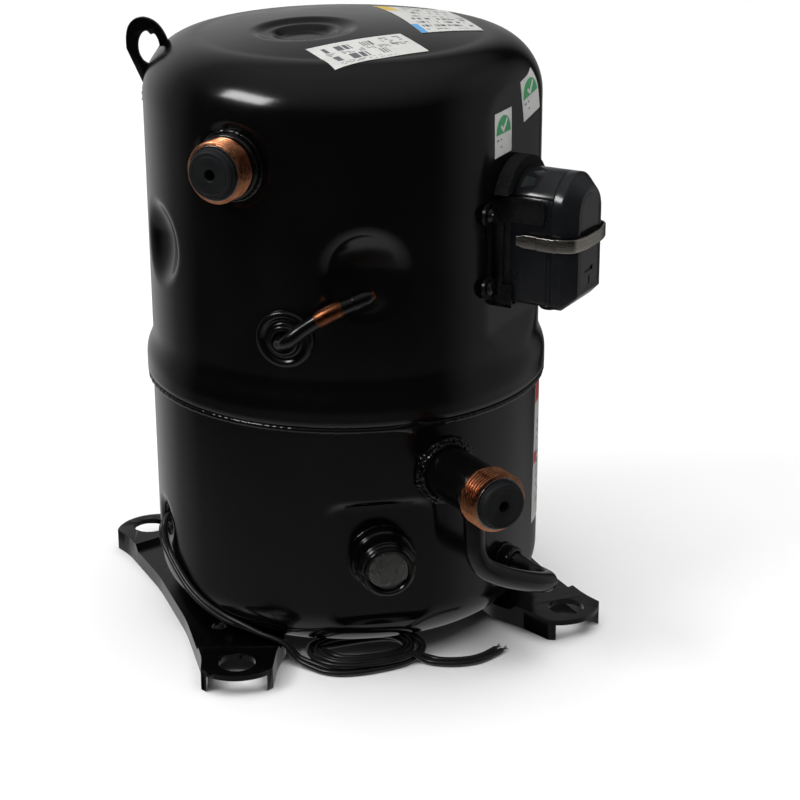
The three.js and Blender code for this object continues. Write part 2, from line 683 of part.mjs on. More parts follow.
// A steel saddle round the back of the box, with an ear at each corner screwed to the shell.
function makeBracket() {
  const frame = BOX_FRAME;
  const inside = BOX.halfWidth + 0.4;
  const outside = inside + 1.5;
  const wings = [-1, 1].flatMap((side) => {
    const x = side < 0 ? [-outside, -inside] : [inside, outside];
    const ear = side < 0 ? [-SCREW.x - 6, -inside] : [inside, SCREW.x + 6];
    const high = block(x, [SCREW.high - 5, SCREW.high + 8], [GAP, BOX.seam - 3], frame);
    const spine = block(x, [SCREW.low - 7, SCREW.high], [GAP, 5], frame);
    const earHigh = block(ear, [SCREW.high - 6, SCREW.high + 6], [GAP, GAP + 1.5], frame);
    const earLow = block(ear, [SCREW.low - 6, SCREW.low + 6], [GAP, GAP + 1.5], frame);
    return [high, spine, earHigh, earLow];
  });
  const bridge = block([-outside, outside], [BOX.bottom - 2.4, BOX.bottom - 0.9], [GAP, 10], frame);
  const drop = [-1, 1].map((side) => {
    const x = side < 0 ? [-outside, -inside] : [inside, outside];
    return block(x, [BOX.bottom - 2.4, SCREW.low], [GAP, 10], frame);
  });
  const holes = screwPlaces().map((m) => cylinder(SCREW.shankR + 0.5, -1, 5, m, 8));
  add("terminal_bracket", cut(join([...wings, bridge, ...drop]), holes), ZINC);
}

function screwPlaces() {
  const places = [];
  for (const side of [-1, 1]) {
    for (const z of [SCREW.high, SCREW.low]) {
      places.push(lift(side * SCREW.x, z).premultiply(BOX_FRAME));
    }
  }
  return places;
}

function makeScrews() {
  screwPlaces().forEach((place, i) => {
    const z = GAP + 1.5 + GAP;
    const { headR, shankR } = SCREW;
    const profile = [[0, GAP], [shankR, GAP], [shankR, z], [headR, z], [headR, z + 1.6], [0, z + 2.4]];
    add(`bracket_screw_${i + 1}`, turned(profile, place, 8), ZINC);
  });
}

// A flat spring strap over the cover, hooked on both sides of the base.
function makeClip() {
  const half = BOX.halfWidth + 3.6;
  const top = BOX.front + 3;
  const path = [
    [-half, CLIP.hookOut],
    [-half, BOX.front - 6],
    [-half + 3, BOX.front],
    [-half + 10, top],
    [half - 10, top],
    [half - 3, BOX.front],
    [half, BOX.front - 6],
    [half, CLIP.hookOut],
  ];
  const inner = path.map(([x, z], i) => {
    const across = [1, 1, 0.8, 0.3][Math.min(i, 7 - i)];
    const back = [0, 0.2, 0.6, 1][Math.min(i, 7 - i)];
    return [x - Math.sign(x) * CLIP.sheet * across, z - CLIP.sheet * back];
  });
  const strap = outline([...path, ...inner.reverse()]);
  const tilt = new THREE.Matrix4().makeBasis(
    new THREE.Vector3(1, 0, 0),
    new THREE.Vector3(0, 0, 1),
    new THREE.Vector3(0, -1, 0),
  );
  const place = BOX_FRAME.clone().multiply(lift(0, CLIP.z)).multiply(tilt);
  add("cover_clip", slab(strap, -CLIP.width / 2, CLIP.width / 2, place), SPRING_STEEL);
}

// The sealed terminal: a steel cup with three pins through it, welded in the shell's hole.
const PIN_RING = 7.5;
const pinAngles = [90, 210, 330];
function makeTerminal() {
  const frame = onShell(BOX_PANEL.angle, BOX_PANEL.plane, BOX.z);
  const cup = [[0, -2.6], [14.6, -2.6], [14.6, 2], [12.5, 2], [12.5, 0], [0, 0]];
  const pins = pinAngles.map((a) => {
    const at = lift(PIN_RING * Math.cos(rad(a)), PIN_RING * Math.sin(rad(a))).premultiply(frame);
    return cylinder(1.6, -12, 14, at, 8);
  });
  add("hermetic_terminal", join([turned(cup, frame), ...pins]), GROUND);
  const plug = block([-12, 12], [-11, 12], [-13.5, -3.2], frame);
  const sockets = pinAngles.map((a) => {
    const at = lift(PIN_RING * Math.cos(rad(a)), PIN_RING * Math.sin(rad(a))).premultiply(frame);
    return cylinder(1.9, -12.4, 0, at, 8);
  });
  const lead = tube(
    [
      spot(BOX_PANEL.angle, 93.4, BOX.z - 10),
      spot(BOX_PANEL.angle, 93.4, 205),
      spot(BOX_PANEL.angle, 92, 190),
      spot(BOX_PANEL.angle, 84, 178),
      spot(BOX_PANEL.angle, 80, 168.6),
    ],
    3.6,
    14,
    10,
  );
  add("motor_lead", cut(join([plug, lead]), sockets), RUBBER);
}

// ---------------------------------------------------------------- oil return tube
function makeOilTube() {
  const route = [
    spot(10, 136, DISCHARGE.z - 15.2),
    spot(10, 136.2, 84),
    spot(10.3, 136.4, 74),
    spot(12, 136.8, 65),
    spot(17, 137.4, 56.5),
    spot(23, 137.8, 49.3),
    spot(29, 138, 43.2),
    spot(33.5, 136, 39.2),
    spot(35.6, 130, 37.6),
    spot(35.2, 122, 39.6),
    spot(OIL.angle + 0.4, 114.5, 45),
    spot(OIL.angle, 106, OIL.z),
  ];
  const pipe = tube(route, OIL.tubeR, 24, 8);
  const nut = ring(OIL.tubeR - 0.2, OIL.tubeR + 2.2, 1.6, 8, onShell(OIL.angle, LOWER.r, OIL.z), 16);
  add("oil_return_tube", join([pipe, nut]), BLACK_PAINT);
}

// ---------------------------------------------------------------- running gear
function makeCrankshaft() {
  const { r, lowerR, bottom, step, neck, top } = SHAFT;
  const main = [
    [0, bottom],
    [lowerR, bottom],
    [lowerR, step],
    [r, step],
    [r, neck],
    [20, neck],
    [20, top],
    [0, top],
  ];
  const pin = cylinder(CRANK.pinR, top - 1, CRANK.top, lift(CRANK.throw, 0), 24);
  const oilway = cylinder(2, bottom - 1, CRANK.top + 1, lift(2.5, 0), 8);
  add("crankshaft", join([turned(main), pin]).subtract(oilway), GROUND);
  const seat = bottom - GAP;
  const scoop = [[2, 16], [3.6, 16], [7, seat - GAP], [7, seat], [4.8, seat], [2, 20], [2, 16]];
  add("oil_pickup", turned(scoop, undefined, 24), ALLOY);
  const bush = ring(CRANK.pinR + GAP, 13.4, top + GAP, CRANK.top, lift(CRANK.throw, 0));
  add("drive_bush", bush, BRONZE);
}

function makeRotor() {
  const bore = SHAFT.r + GAP;
  const { r, bottom, top, cage } = ROTOR;
  const profile = [
    [bore, bottom],
    [30, bottom],
    [30, bottom - cage],
    [46, bottom - cage],
    [46, bottom],
    [r, bottom],
    [r, top],
    [46, top],
    [46, top + cage],
    [30, top + cage],
    [30, top],
    [bore, top],
    [bore, bottom],
  ];
  add("rotor", turned(profile, undefined, 28), LAMINATION);
  const half = new THREE.Shape();
  half.absarc(0, 0, 46, Math.PI / 2, (3 * Math.PI) / 2, false);
  half.absarc(0, 0, 31, (3 * Math.PI) / 2, Math.PI / 2, true);
  const high = top + cage + GAP;
  add("upper_counterweight", slab(half, high, high + 11), BRONZE);
  const low = bottom - cage - GAP;
  add("lower_counterweight", slab(half, low - 11, low, spin(180)), BRONZE);
}

function makeStator() {
  const { r, bore, bottom, top, slots } = STATOR;
  const yoke = new THREE.Shape();
  yoke.absarc(0, 0, r, 0, 2 * Math.PI, false);
  const inside = new THREE.Path();
  const step = (2 * Math.PI) / slots;
  const slotHalf = step * 0.28;
  const slotR = 84;
  for (let i = 0; i < slots; i += 1) {
    const a = -i * step;
    const turn = [[slotHalf, bore], [slotHalf, slotR], [-slotHalf, slotR], [-slotHalf, bore]];
    for (const [off, rr] of turn) {
      const x = rr * Math.cos(a + off);
      const y = rr * Math.sin(a + off);
      if (i === 0 && off > 0 && rr === bore) inside.moveTo(x, y);
      else inside.lineTo(x, y);
    }
  }
  inside.closePath();
  yoke.holes.push(inside);
  const settings = { depth: top - bottom, bevelEnabled: false, curveSegments: 12 };
  const stack = solid(new THREE.ExtrudeGeometry(yoke, settings).translate(0, 0, bottom));
  const flats = [0, 90, 180, 270].map((turn) =>
    block([-60, 60], [0, 300], [0, 20], onShell(GLASS_PANEL.angle + turn, STATOR.flat, 0)),
  );
  add("stator_core", cut(stack, flats), LAMINATION);
  makeWinding(slots, step, slotHalf, slotR);
}

// Both end turns, joined by a bar of winding in every slot.
function makeWinding(slots, step, slotHalf, slotR) {
  const { bottom, top } = STATOR;
  const endTurn = (z0, z1) =>
    turned([[56, z0], [86, z0], [80, z1], [60, z1], [56, z0]], undefined, 24);
  const bars = [];
  const narrow = slotHalf - 0.009;
  for (let i = 0; i < slots; i += 1) {
    const a = -i * step;
    const corners = [[-narrow, 60], [narrow, 60], [narrow, slotR - 1], [-narrow, slotR - 1]];
    const bar = corners.map(([off, r]) => [r * Math.cos(a + off), r * Math.sin(a + off)]);
    bars.push(slab(outline(bar), bottom - 4, top + 4));
  }
  const coils = [endTurn(bottom - GAP, bottom - 18), endTurn(top + GAP, top + 18)];
  add("stator_winding", join([...coils, ...bars]), WINDING);
}

function makeBearings() {
  const { hubR, bottom, top, armReach, angles } = BRACKET;
  const hub = ring(SHAFT.lowerR + 3.6, hubR, bottom, top);
  const arms = angles.map((a) => block([-12, 12], [50, 58], [20, armReach], onShell(a, 0, 0)));
  const clear = cylinder(SHAFT.lowerR + 3.6, bottom - 1, top + 1, undefined, 24);
  const trim = cylinder(armReach, 0, 100, undefined, ROUND);
  const bracket = join([hub, ...arms.map((a) => a.intersect(trim))]).subtract(clear);
  add("lower_bearing_bracket", bracket, CAST);
  const lowerBush = ring(SHAFT.lowerR + GAP, SHAFT.lowerR + 3.3, bottom, top);
  add("lower_bearing_bush", lowerBush, BRONZE);
  const mainBush = ring(SHAFT.r + GAP, 15.7, HOUSING.hubBottom + 1, SHAFT.neck - 2);
  add("main_bearing_bush", mainBush, BRONZE);
}

function makeHousing() {
  const { r, hubBottom, hubR, under, floor, rim, notch } = HOUSING;
  const thrustTop = SCROLL.plateBottom - GAP;
  const pocket = 25.5;
  const pocketFloor = SHAFT.neck - 1.5;
  const profile = [
    [16, hubBottom],
    [hubR, hubBottom],
    [hubR + 3, under - 6],
    [62, under + 26],
    [88, under + 26],
    [88, under],
    [r, under],
    [r, rim],
    [SCROLL.ringIn + 0.5, rim],
    [SCROLL.ringIn + 0.5, floor],
    [38.6, floor],
    [38.6, thrustTop],
    [pocket, thrustTop],
    [pocket, pocketFloor],
    [16, pocketFloor],
    [16, hubBottom],
  ];
  const keyways = [-1, 1].map((side) => {
    const y = side < 0 ? [-62, -40.6] : [40.6, 62];
    return block([-OLDHAM.keyHalf - GAP, OLDHAM.keyHalf + GAP], y, [floor - 3.4, floor + 1]);
  });
  const leadNotch = block([-16, 16], [150, 300], [notch, 120], onShell(BOX_PANEL.angle, 0, 0));
  const gasWay = block([-16, 16], [150, 300], [notch + 4, 120], onShell(BOX_PANEL.angle + 180, 0, 0));
  const threads = boltPlaces().map((place) => cylinder(BOLT.shankR + GAP, 225, 300, place, 12));
  const body = turned(profile, undefined, 28);
  add("main_bearing_housing", cut(body, [...keyways, leadNotch, gasWay, ...threads]), CAST);
}

function boltPlaces() {
  return [0, 90, 180, 270].map((turn) => {
    const p = around(BOX_PANEL.angle + 45 + turn, BOLT.ring, 0);
    return lift(p.x, p.y);
  });
}

// The Oldham ring keeps the orbiting scroll from turning: keys below along Y, keys above along X.
function makeOldham() {
  const { z, height, inner, outer, keyIn, keyOut, keyHalf } = OLDHAM;
  const keys = [];
  for (const side of [-1, 1]) {
    const reach = side < 0 ? [-keyOut, -keyIn] : [keyIn, keyOut];
    keys.push(block([-keyHalf, keyHalf], reach, [z - 3, z + 1]));
    keys.push(block(reach, [-keyHalf, keyHalf], [z + height - 1, z + height + 2.9]));
  }
  add("oldham_ring", join([ring(inner, outer, z, z + height, undefined, 24), ...keys]), ALLOY);
}

// ---------------------------------------------------------------- scroll set
// An involute wall of constant thickness, as a plan outline.
function involute(startTurn, turns) {
  const wall = [];
  const offset = SCROLL.thick / (2 * SCROLL.base);
  const count = Math.round(turns * 14);
  const side = (sign) => {
    const points = [];
    for (let i = 0; i <= count; i += 1) {
      const a = startTurn + (2 * Math.PI * turns * i) / count;
      const t = a - sign * offset;
      const x = SCROLL.base * (Math.cos(a) + t * Math.sin(a));
      const y = SCROLL.base * (Math.sin(a) - t * Math.cos(a));
      points.push([x, y]);
    }
    return points;
  };
  wall.push(...side(1), ...side(-1).reverse());
  return wall;
}

function makeScrolls() {
  const { plateR, plateBottom, plateTop, wrapTop, ringIn, ringOut, coverTop, turns } = SCROLL;
  const wrap = outline(involute(2.4, turns));
  const centre = lift(CRANK.throw, 0);
  const hubBottom = SHAFT.top + 1;
  const plate = [
    [13.8, hubBottom],
    [19.5, hubBottom],
    [19.5, plateBottom],
    [plateR, plateBottom],
    [plateR, plateTop],
    [0, plateTop],
    [0, plateBottom - 1],
    [13.8, plateBottom - 1],
    [13.8, hubBottom],
  ];
  const slotHalf = OLDHAM.keyHalf + 2 * CRANK.throw + GAP;
  const slots = [-1, 1].map((side) => {
    const x = side < 0 ? [-plateR - 2, -40.6] : [40.6, plateR + 2];
    return block(x, [-slotHalf, slotHalf], [plateBottom - 1, plateBottom + 3], centre);
  });
  const moving = slab(wrap, plateTop - 0.5, wrapTop, centre);
  const disc = turned(plate, centre, 28);
  add("orbiting_scroll", cut(join([disc, moving]), slots), CAST);

  const foot = HOUSING.rim + GAP;
  const roof = wrapTop + 0.4;
  const rim = [[ringIn, roof], [ringIn, foot], [ringOut, foot], [ringOut, coverTop]];
  const cover = turned([[0, roof], ...rim, [0, coverTop]], undefined, 28);
  const still = slab(wrap, plateTop + 0.4, wrapTop + 1, spin(180));
  const port = cylinder(5, wrapTop - 1, coverTop + 1, undefined, 16);
  const core = cylinder(ringIn - 1, 0, 400, undefined, 28);
  const inlet = cylinder(9.3, -60, 10, SUCTION_FRAME, 24).subtract(core);
  const shanks = boltPlaces().map((place) => cylinder(BOLT.shankR + GAP, 250, 300, place, 12));
  add("fixed_scroll", cut(join([cover, still]), [port, inlet, ...shanks]), CAST);
}

function makeScrollBolts() {
  boltPlaces().forEach((place, i) => {
    const seat = SCROLL.coverTop + GAP;
    const { headR, shankR, length } = BOLT;
    const profile = [
      [0, seat - length],
      [shankR, seat - length],
      [shankR, seat],
      [headR, seat],
      [headR, seat + 6],
      [3, seat + 6],
      [3, seat + 3],
      [0, seat + 3],
    ];
    add(`scroll_bolt_${i + 1}`, turned(profile, place, 8), GROUND);
  });
}

function makeDischargeValve() {
  const seat = SCROLL.coverTop + GAP;
  add("check_valve_disc", cylinder(8, seat, seat + 1.5), GROUND);
  const bridge = outline([
    [-13, seat],
    [-9.5, seat],
    [-9.5, seat + 5],
    [9.5, seat + 5],
    [9.5, seat],
    [13, seat],
    [13, seat + 7.5],
    [-13, seat + 7.5],
  ]);
  const stand = new THREE.Matrix4().makeRotationX(Math.PI / 2);
  add("valve_guard", slab(bridge, -4, 4, stand), GROUND);
  const dome = [
    [36, seat],
    [44, seat],
    [44, seat + 1.5],
    [37.5, seat + 1.5],
    [33, seat + 18],
    [0, seat + 20],
    [0, seat + 18.5],
    [31.8, seat + 16.6],
    [36, seat],
  ];
  const hat = turned(dome);
  const vents = [0, 90, 180, 270].map((a) => cylinder(4, 20, 60, onShell(a, 0, seat + 9), 10));
  add("discharge_muffler", cut(hat, vents), ZINC);
}

makeUpperShell();
makeLowerShell();
makeSeamWeld();
makeRail("foot_rail_right", false);
makeRail("foot_rail_left", true);
makeLug();
makeSuction();
makeDischarge();
makeProcessTube();
makeSightGlass();
makeHeater();
makeLeads();
makeTerminalBox();
makeBracket();
makeScrews();
makeClip();
makeTerminal();
makeOilTube();
makeCrankshaft();
makeRotor();
makeStator();
makeBearings();
makeHousing();
makeOldham();
makeScrolls();
makeScrollBolts();
makeDischargeValve();

// The origin goes to the bottom centre of everything but the heater's free leads.
const bounds = new THREE.Box3();
for (const mesh of compressor.children) {
  if (!mesh.name.startsWith("heater_lead") && !mesh.name.startsWith("heater_tail")) {
    bounds.expandByObject(mesh);
  }
}
const middle = bounds.getCenter(new THREE.Vector3());
compressor.position.set(-middle.x, -middle.y, -bounds.min.z);

export default compressor;
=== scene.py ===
import json
import math

import bmesh
import bpy
import numpy as np
from mathutils import Matrix, Vector, noise

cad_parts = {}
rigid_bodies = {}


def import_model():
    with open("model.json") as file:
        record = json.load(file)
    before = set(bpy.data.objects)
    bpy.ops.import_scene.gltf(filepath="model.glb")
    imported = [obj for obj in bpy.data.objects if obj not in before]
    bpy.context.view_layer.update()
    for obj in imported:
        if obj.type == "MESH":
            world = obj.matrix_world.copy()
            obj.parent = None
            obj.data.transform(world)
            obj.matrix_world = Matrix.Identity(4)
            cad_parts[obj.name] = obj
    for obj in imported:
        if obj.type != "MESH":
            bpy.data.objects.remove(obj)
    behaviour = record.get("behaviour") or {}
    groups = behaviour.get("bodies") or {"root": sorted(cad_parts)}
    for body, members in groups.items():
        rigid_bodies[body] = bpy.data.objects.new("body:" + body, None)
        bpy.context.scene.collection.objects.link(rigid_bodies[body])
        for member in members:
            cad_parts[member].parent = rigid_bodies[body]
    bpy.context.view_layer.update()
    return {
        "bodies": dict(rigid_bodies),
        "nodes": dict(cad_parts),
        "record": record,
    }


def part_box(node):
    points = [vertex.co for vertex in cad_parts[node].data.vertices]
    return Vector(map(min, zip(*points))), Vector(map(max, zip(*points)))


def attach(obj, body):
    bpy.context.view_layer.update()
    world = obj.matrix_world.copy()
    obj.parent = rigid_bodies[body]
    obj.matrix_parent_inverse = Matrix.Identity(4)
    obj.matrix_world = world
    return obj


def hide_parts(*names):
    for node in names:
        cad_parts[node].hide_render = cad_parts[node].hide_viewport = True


# The looks of a hermetic scroll compressor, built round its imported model. Shapes are worked out in
# millimetres round the shell's axis, with the floor at zero, and become metres when a mesh is made.
# Angles are degrees round the axis, from the front (-Y) towards the right (+X).

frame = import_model()

MM = 0.001
WELD_LOW, WELD_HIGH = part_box("seam_weld")
AXIS = Vector(((WELD_LOW.x + WELD_HIGH.x) / 2, (WELD_LOW.y + WELD_HIGH.y) / 2, 0))

# ---------------------------------------------------------------- driving dimensions
WALL = 3
UPPER = dict(r=107, apex=330, shoulder_z=293, shoulder_r=31, crown=6, flare_top=161, flare_bottom=152)
UPPER.update(skirt_r=110.8, bottom=140)
LOWER = dict(r=107.9, bottom=9, corner_r=24, rim=150)
DIMPLE = dict(angles=(-157, -85, -13, 131), z=221, ball_r=33, depth=8, blend=3)
DISH = dict(x=-24, y=-9, r=29, slope=9, depth=2.3, inner_r=18.5, inner_slope=7, inner_depth=3.1)
DISH.update(starts_at=300, fades_over=10)
BOX_PANEL = dict(angle=41, plane=102.6, bottom=178, run_out=160, slope=5, half_angle=60, blend=1.2)
GLASS_PANEL = dict(angle=-9.5, plane=103.9, bottom=27, top=95, half=29, corner=9, blend=3)
SUCTION = dict(angle=-50.8, z=273.7, aim=-46, collar=3.5, ring=15.5, face=20)
SUCTION.update(seat=-2, seat_r=23.5, seat_slope=5)
DISCHARGE = dict(angle=10, z=110, tube=38, ring=52.5, face=57, hole_r=14.3)
THREAD = dict(r=15.875, root=14.7, bore=12.2, pitch=2.117)
PROCESS = dict(angle=-35.4, z=186.5, tube_r=3.8, sleeve=(0.71, 0.89))
GLASS = dict(angle=-9, z=64, reach=21, hole_r=12)
OIL = dict(angle=33, z=46, tube_r=5.6)
HEATER = dict(angle=-90, z=58, well_r=9.5, tip=48, mouth=104.5)
HEATER.update(dent_r=23, dent_middle=126.9, dent_blend=2)
LUG = dict(angle=-115, thickness=4, eye=104, eye_z=314, eye_half=(6, 9))
BOX = dict(z=225, half=20, bottom=195, top=263, gasket=8, seam=31, front=44, wall=2)
BOX.update(shell_hole_r=15, opening_r=16, cable_r=6.3, cable_depth=22)
SCREW = dict(x=31.5, high=244, low=205, head_r=3.6)
CLIP = dict(z=230, width=7, sheet=1, hook_out=13)
FOOT = dict(hole=95.25, hole_r=9.8, sheet=3, web=8.7, pad=12, splay=18, half=19)
FOOT.update(shoulder=6.4, nose=15.5, fold=-21.7, small_r=4.25, small_x=91, small_y=44)
LEAD_R = 1.5
HANK = dict(x=-21.5, y=-88, half_length=35.5, half_width=24)


# ---------------------------------------------------------------- places
def outward(angle):
    a = math.radians(angle)
    return Vector((math.sin(a), -math.cos(a), 0))


def spot(angle, r, z):
    return outward(angle) * r + Vector((0, 0, z))


def facing(position, angle):
    """Local X to the right as seen from outside, local Y up, local Z outward along the angle."""
    a = math.radians(angle)
    right = Vector((math.cos(a), math.sin(a), 0))
    turn = Matrix((right, Vector((0, 0, 1)), outward(angle))).transposed()
    return Matrix.Translation(position) @ turn.to_4x4()


def on_shell(angle, r, z):
    return facing(spot(angle, r, z), angle)


def side_on(angle):
    """Local X outward along the angle, local Y up, for shapes drawn in a plane through the axis."""
    turn = Matrix((outward(angle), Vector((0, 0, 1)), -outward(angle + 90))).transposed()
    return turn.to_4x4()


SUCTION_FRAME = facing(spot(SUCTION["angle"], UPPER["r"], SUCTION["z"]), SUCTION["aim"])
DISCHARGE_FRAME = on_shell(DISCHARGE["angle"], LOWER["r"], DISCHARGE["z"])
BOX_FRAME = on_shell(BOX_PANEL["angle"], BOX_PANEL["plane"], 0)
BOX_MIDDLE = on_shell(BOX_PANEL["angle"], BOX_PANEL["plane"], BOX["z"])
GLASS_FRAME = on_shell(GLASS["angle"], GLASS_PANEL["plane"], GLASS["z"])
HEATER_FRAME = on_shell(HEATER["angle"], 0, HEATER["z"])
BOSS_FRAME = on_shell(PROCESS["angle"], UPPER["r"], PROCESS["z"])


def moved(points, matrix):
    """An array of points taken through a matrix."""
    m = np.array(matrix)
    return np.asarray(points, float) @ m[:3, :3].T + m[:3, 3]


# ---------------------------------------------------------------- camera
LENS = 96.4
CAMERA_BACK = 1134.8
CAMERA_HEIGHT = 541.4
CAMERA_AROUND = -18.5
CAMERA_PITCH = 20.64
CAMERA_YAW = 1.51
CAMERA_ROLL = -0.23


def add_object(name, data):
    made = bpy.data.objects.new(name, data)
    bpy.context.scene.collection.objects.link(made)
    return made


def make_camera():
    data = bpy.data.cameras.new("camera")
    data.lens = LENS
    data.sensor_width = 36
    data.clip_start = 0.05
    data.clip_end = 50
    camera = add_object("camera", data)
    turn = Matrix.Rotation(math.radians(CAMERA_AROUND - CAMERA_YAW), 4, "Z")
    tilt = Matrix.Rotation(math.radians(90 - CAMERA_PITCH), 4, "X")
    roll = Matrix.Rotation(math.radians(CAMERA_ROLL), 4, "Z")
    place = spot(CAMERA_AROUND, CAMERA_BACK, CAMERA_HEIGHT) * MM + AXIS
    camera.matrix_world = Matrix.Translation(place) @ turn @ tilt @ roll
    bpy.context.scene.camera = camera


# ---------------------------------------------------------------- materials
def node(tree, kind, **settings):
    made = tree.nodes.new("ShaderNode" + kind)
    for key, value in settings.items():
        setattr(made, key, value)
    return made


def maths(tree, operation, a, b=None):
    """A maths node whose operands are numbers or sockets; gives its output."""
    made = node(tree, "Math", operation=operation)
    for slot, value in enumerate([a] if b is None else [a, b]):
        if isinstance(value, (int, float)):
            made.inputs[slot].default_value = value
        else:
            tree.links.new(value, made.inputs[slot])
    return made.outputs[0]


def grain(tree, scale, stretch=(1, 1, 1), detail=3):
    """Noise in the piece's own metres, stretched along its axes, from 0 to 1."""
    place = node(tree, "TexCoord")
    mapping = node(tree, "Mapping")
    mapping.inputs["Scale"].default_value = stretch
    tree.links.new(place.outputs["Object"], mapping.inputs["Vector"])
    texture = node(tree, "TexNoise")
    texture.inputs["Scale"].default_value = scale
    texture.inputs["Detail"].default_value = detail
    tree.links.new(mapping.outputs["Vector"], texture.inputs["Vector"])
    return texture.outputs["Fac"]


def remap(tree, value, low, high, start=0.35, end=0.65):
    """A value taken from start to end and stretched to run from low to high."""
    made = node(tree, "MapRange")
    made.clamp = True
    for key, number in (("From Min", start), ("From Max", end), ("To Min", low), ("To Max", high)):
        made.inputs[key].default_value = number
    tree.links.new(value, made.inputs["Value"])
    return made.outputs["Result"]


def mixed(tree, share, a, b):
    """Colour a where share is 0 and b where it is 1; a and b are colours or sockets."""
    made = node(tree, "Mix", data_type="RGBA")
    tree.links.new(share, made.inputs["Factor"])
    for key, value in ((6, a), (7, b)):
        if isinstance(value, tuple):
            made.inputs[key].default_value = (*value, 1)
        else:
            tree.links.new(value, made.inputs[key])
    return made.outputs[2]


def bumped(tree, shader, heights):
    """Bump from a list of (socket, height in millimetres)."""
    total = None
    for value, height in heights:
        part = maths(tree, "MULTIPLY", value, height * MM)
        total = part if total is None else maths(tree, "ADD", total, part)
    bump = node(tree, "Bump")
    bump.inputs["Distance"].default_value = 1
    tree.links.new(total, bump.inputs["Height"])
    tree.links.new(bump.outputs["Normal"], shader.inputs["Normal"])


def blank(name, metallic=0.0, coat=0.0, coat_roughness=0.05, specular=0.5):
    material = bpy.data.materials.new(name)
    material.use_nodes = True
    shader = material.node_tree.nodes["Principled BSDF"]
    shader.inputs["Metallic"].default_value = metallic
    shader.inputs["Coat Weight"].default_value = coat
    shader.inputs["Coat Roughness"].default_value = coat_roughness
    shader.inputs["Specular IOR Level"].default_value = specular
    return material, material.node_tree, shader


def surface(name, dark, light, rough, mottle=40, bumps=((600, 0.004),), stretch=(1, 1, 1), **shading):
    """A finish whose colour and roughness vary with noise, with a fine bump."""
    material, tree, shader = blank(name, **shading)
    cloud = grain(tree, mottle, stretch)
    tree.links.new(mixed(tree, remap(tree, cloud, 0, 1), dark, light), shader.inputs["Base Color"])
    patch = grain(tree, mottle * 2.3, stretch, detail=5)
    tree.links.new(remap(tree, patch, *rough), shader.inputs["Roughness"])
    bumped(tree, shader, [(grain(tree, scale, stretch), height) for scale, height in bumps])
    return material


def speckled(name, base, fleck, scale, share, rough, bump):
    """A base colour with hard-edged flecks of another."""
    material, tree, shader = blank(name, specular=0.25)
    fine = grain(tree, scale, detail=2)
    flecks = remap(tree, fine, 0, 1, share, share + 0.03)
    tone = mixed(tree, remap(tree, grain(tree, scale / 6), 0, 1), base, tuple(c * 1.5 for c in base))
    tree.links.new(mixed(tree, flecks, tone, fleck), shader.inputs["Base Color"])
    shader.inputs["Roughness"].default_value = rough
    bumped(tree, shader, [(fine, bump), (grain(tree, scale * 2), bump / 2)])
    return material


def enamel():
    """Sprayed black enamel: orange peel, a soft coat, faint dust and scuffs."""
    material, tree, shader = blank("black_enamel")
    dust = remap(tree, grain(tree, 900, detail=1), 0, 1, 0.74, 0.8)
    haze = remap(tree, grain(tree, 14, detail=6), 0, 1, 0.45, 0.75)
    tone = mixed(tree, haze, (0.0012, 0.0012, 0.0012), (0.0026, 0.0025, 0.0024))
    tree.links.new(mixed(tree, dust, tone, (0.012, 0.0115, 0.011)), shader.inputs["Base Color"])
    scuff = grain(tree, 30, (1, 1, 0.25), detail=8)
    tree.links.new(remap(tree, scuff, 0.13, 0.2), shader.inputs["Roughness"])
    peel = [(grain(tree, 260, detail=1), 0.012), (grain(tree, 60, detail=1), 0.03), (dust, 0.01)]
    bumped(tree, shader, peel)
    return material


def turned_copper():
    """Machined copper, bright on the crests of the thread and tarnished in its roots."""
    material, tree, shader = blank("turned_copper", metallic=1.0)
    crest = node(tree, "Attribute", attribute_name="crest").outputs["Fac"]
    cloud = remap(tree, grain(tree, 160, detail=5), 0, 1)
    bright = mixed(tree, cloud, (0.56, 0.21, 0.1), (0.7, 0.32, 0.17))
    dull = mixed(tree, cloud, (0.14, 0.048, 0.022), (0.26, 0.095, 0.045))
    tree.links.new(mixed(tree, crest, dull, bright), shader.inputs["Base Color"])
    tree.links.new(remap(tree, grain(tree, 420, detail=4), 0.24, 0.42), shader.inputs["Roughness"])
    bumped(tree, shader, [(grain(tree, 900, detail=2), 0.012)])
    return material


def clear_glass():
    material, tree, shader = blank("clear_glass")
    shader.inputs["Base Color"].default_value = (0.6, 0.62, 0.58, 1)
    shader.inputs["Transmission Weight"].default_value = 1
    shader.inputs["IOR"].default_value = 1.47
    tree.links.new(remap(tree, grain(tree, 120, detail=5), 0.02, 0.09), shader.inputs["Roughness"])
    bumped(tree, shader, [(grain(tree, 90, detail=1), 0.02)])
    return material


def between(tree, value, low, high):
    """1 where the value lies between two bounds and 0 elsewhere."""
    above = maths(tree, "GREATER_THAN", value, low)
    return maths(tree, "MULTIPLY", above, maths(tree, "LESS_THAN", value, high))


def patch_mask(tree, u, v, left, right, low, high):
    across = between(tree, u, left, right)
    return maths(tree, "MULTIPLY", across, between(tree, v, low, high))


def random_cells(tree, u, v, columns, rows):
    """White noise that is constant in each cell of a grid over the label."""
    cell = node(tree, "CombineXYZ")
    for key, value, count in (("X", u, columns), ("Y", v, rows)):
        step = maths(tree, "FLOOR", maths(tree, "MULTIPLY", value, float(count)))
        tree.links.new(step, cell.inputs[key])
    texture = node(tree, "TexWhiteNoise", noise_dimensions="2D")
    tree.links.new(cell.outputs[0], texture.inputs["Vector"])
    return texture.outputs["Value"]


PAPER = (0.57, 0.57, 0.55)


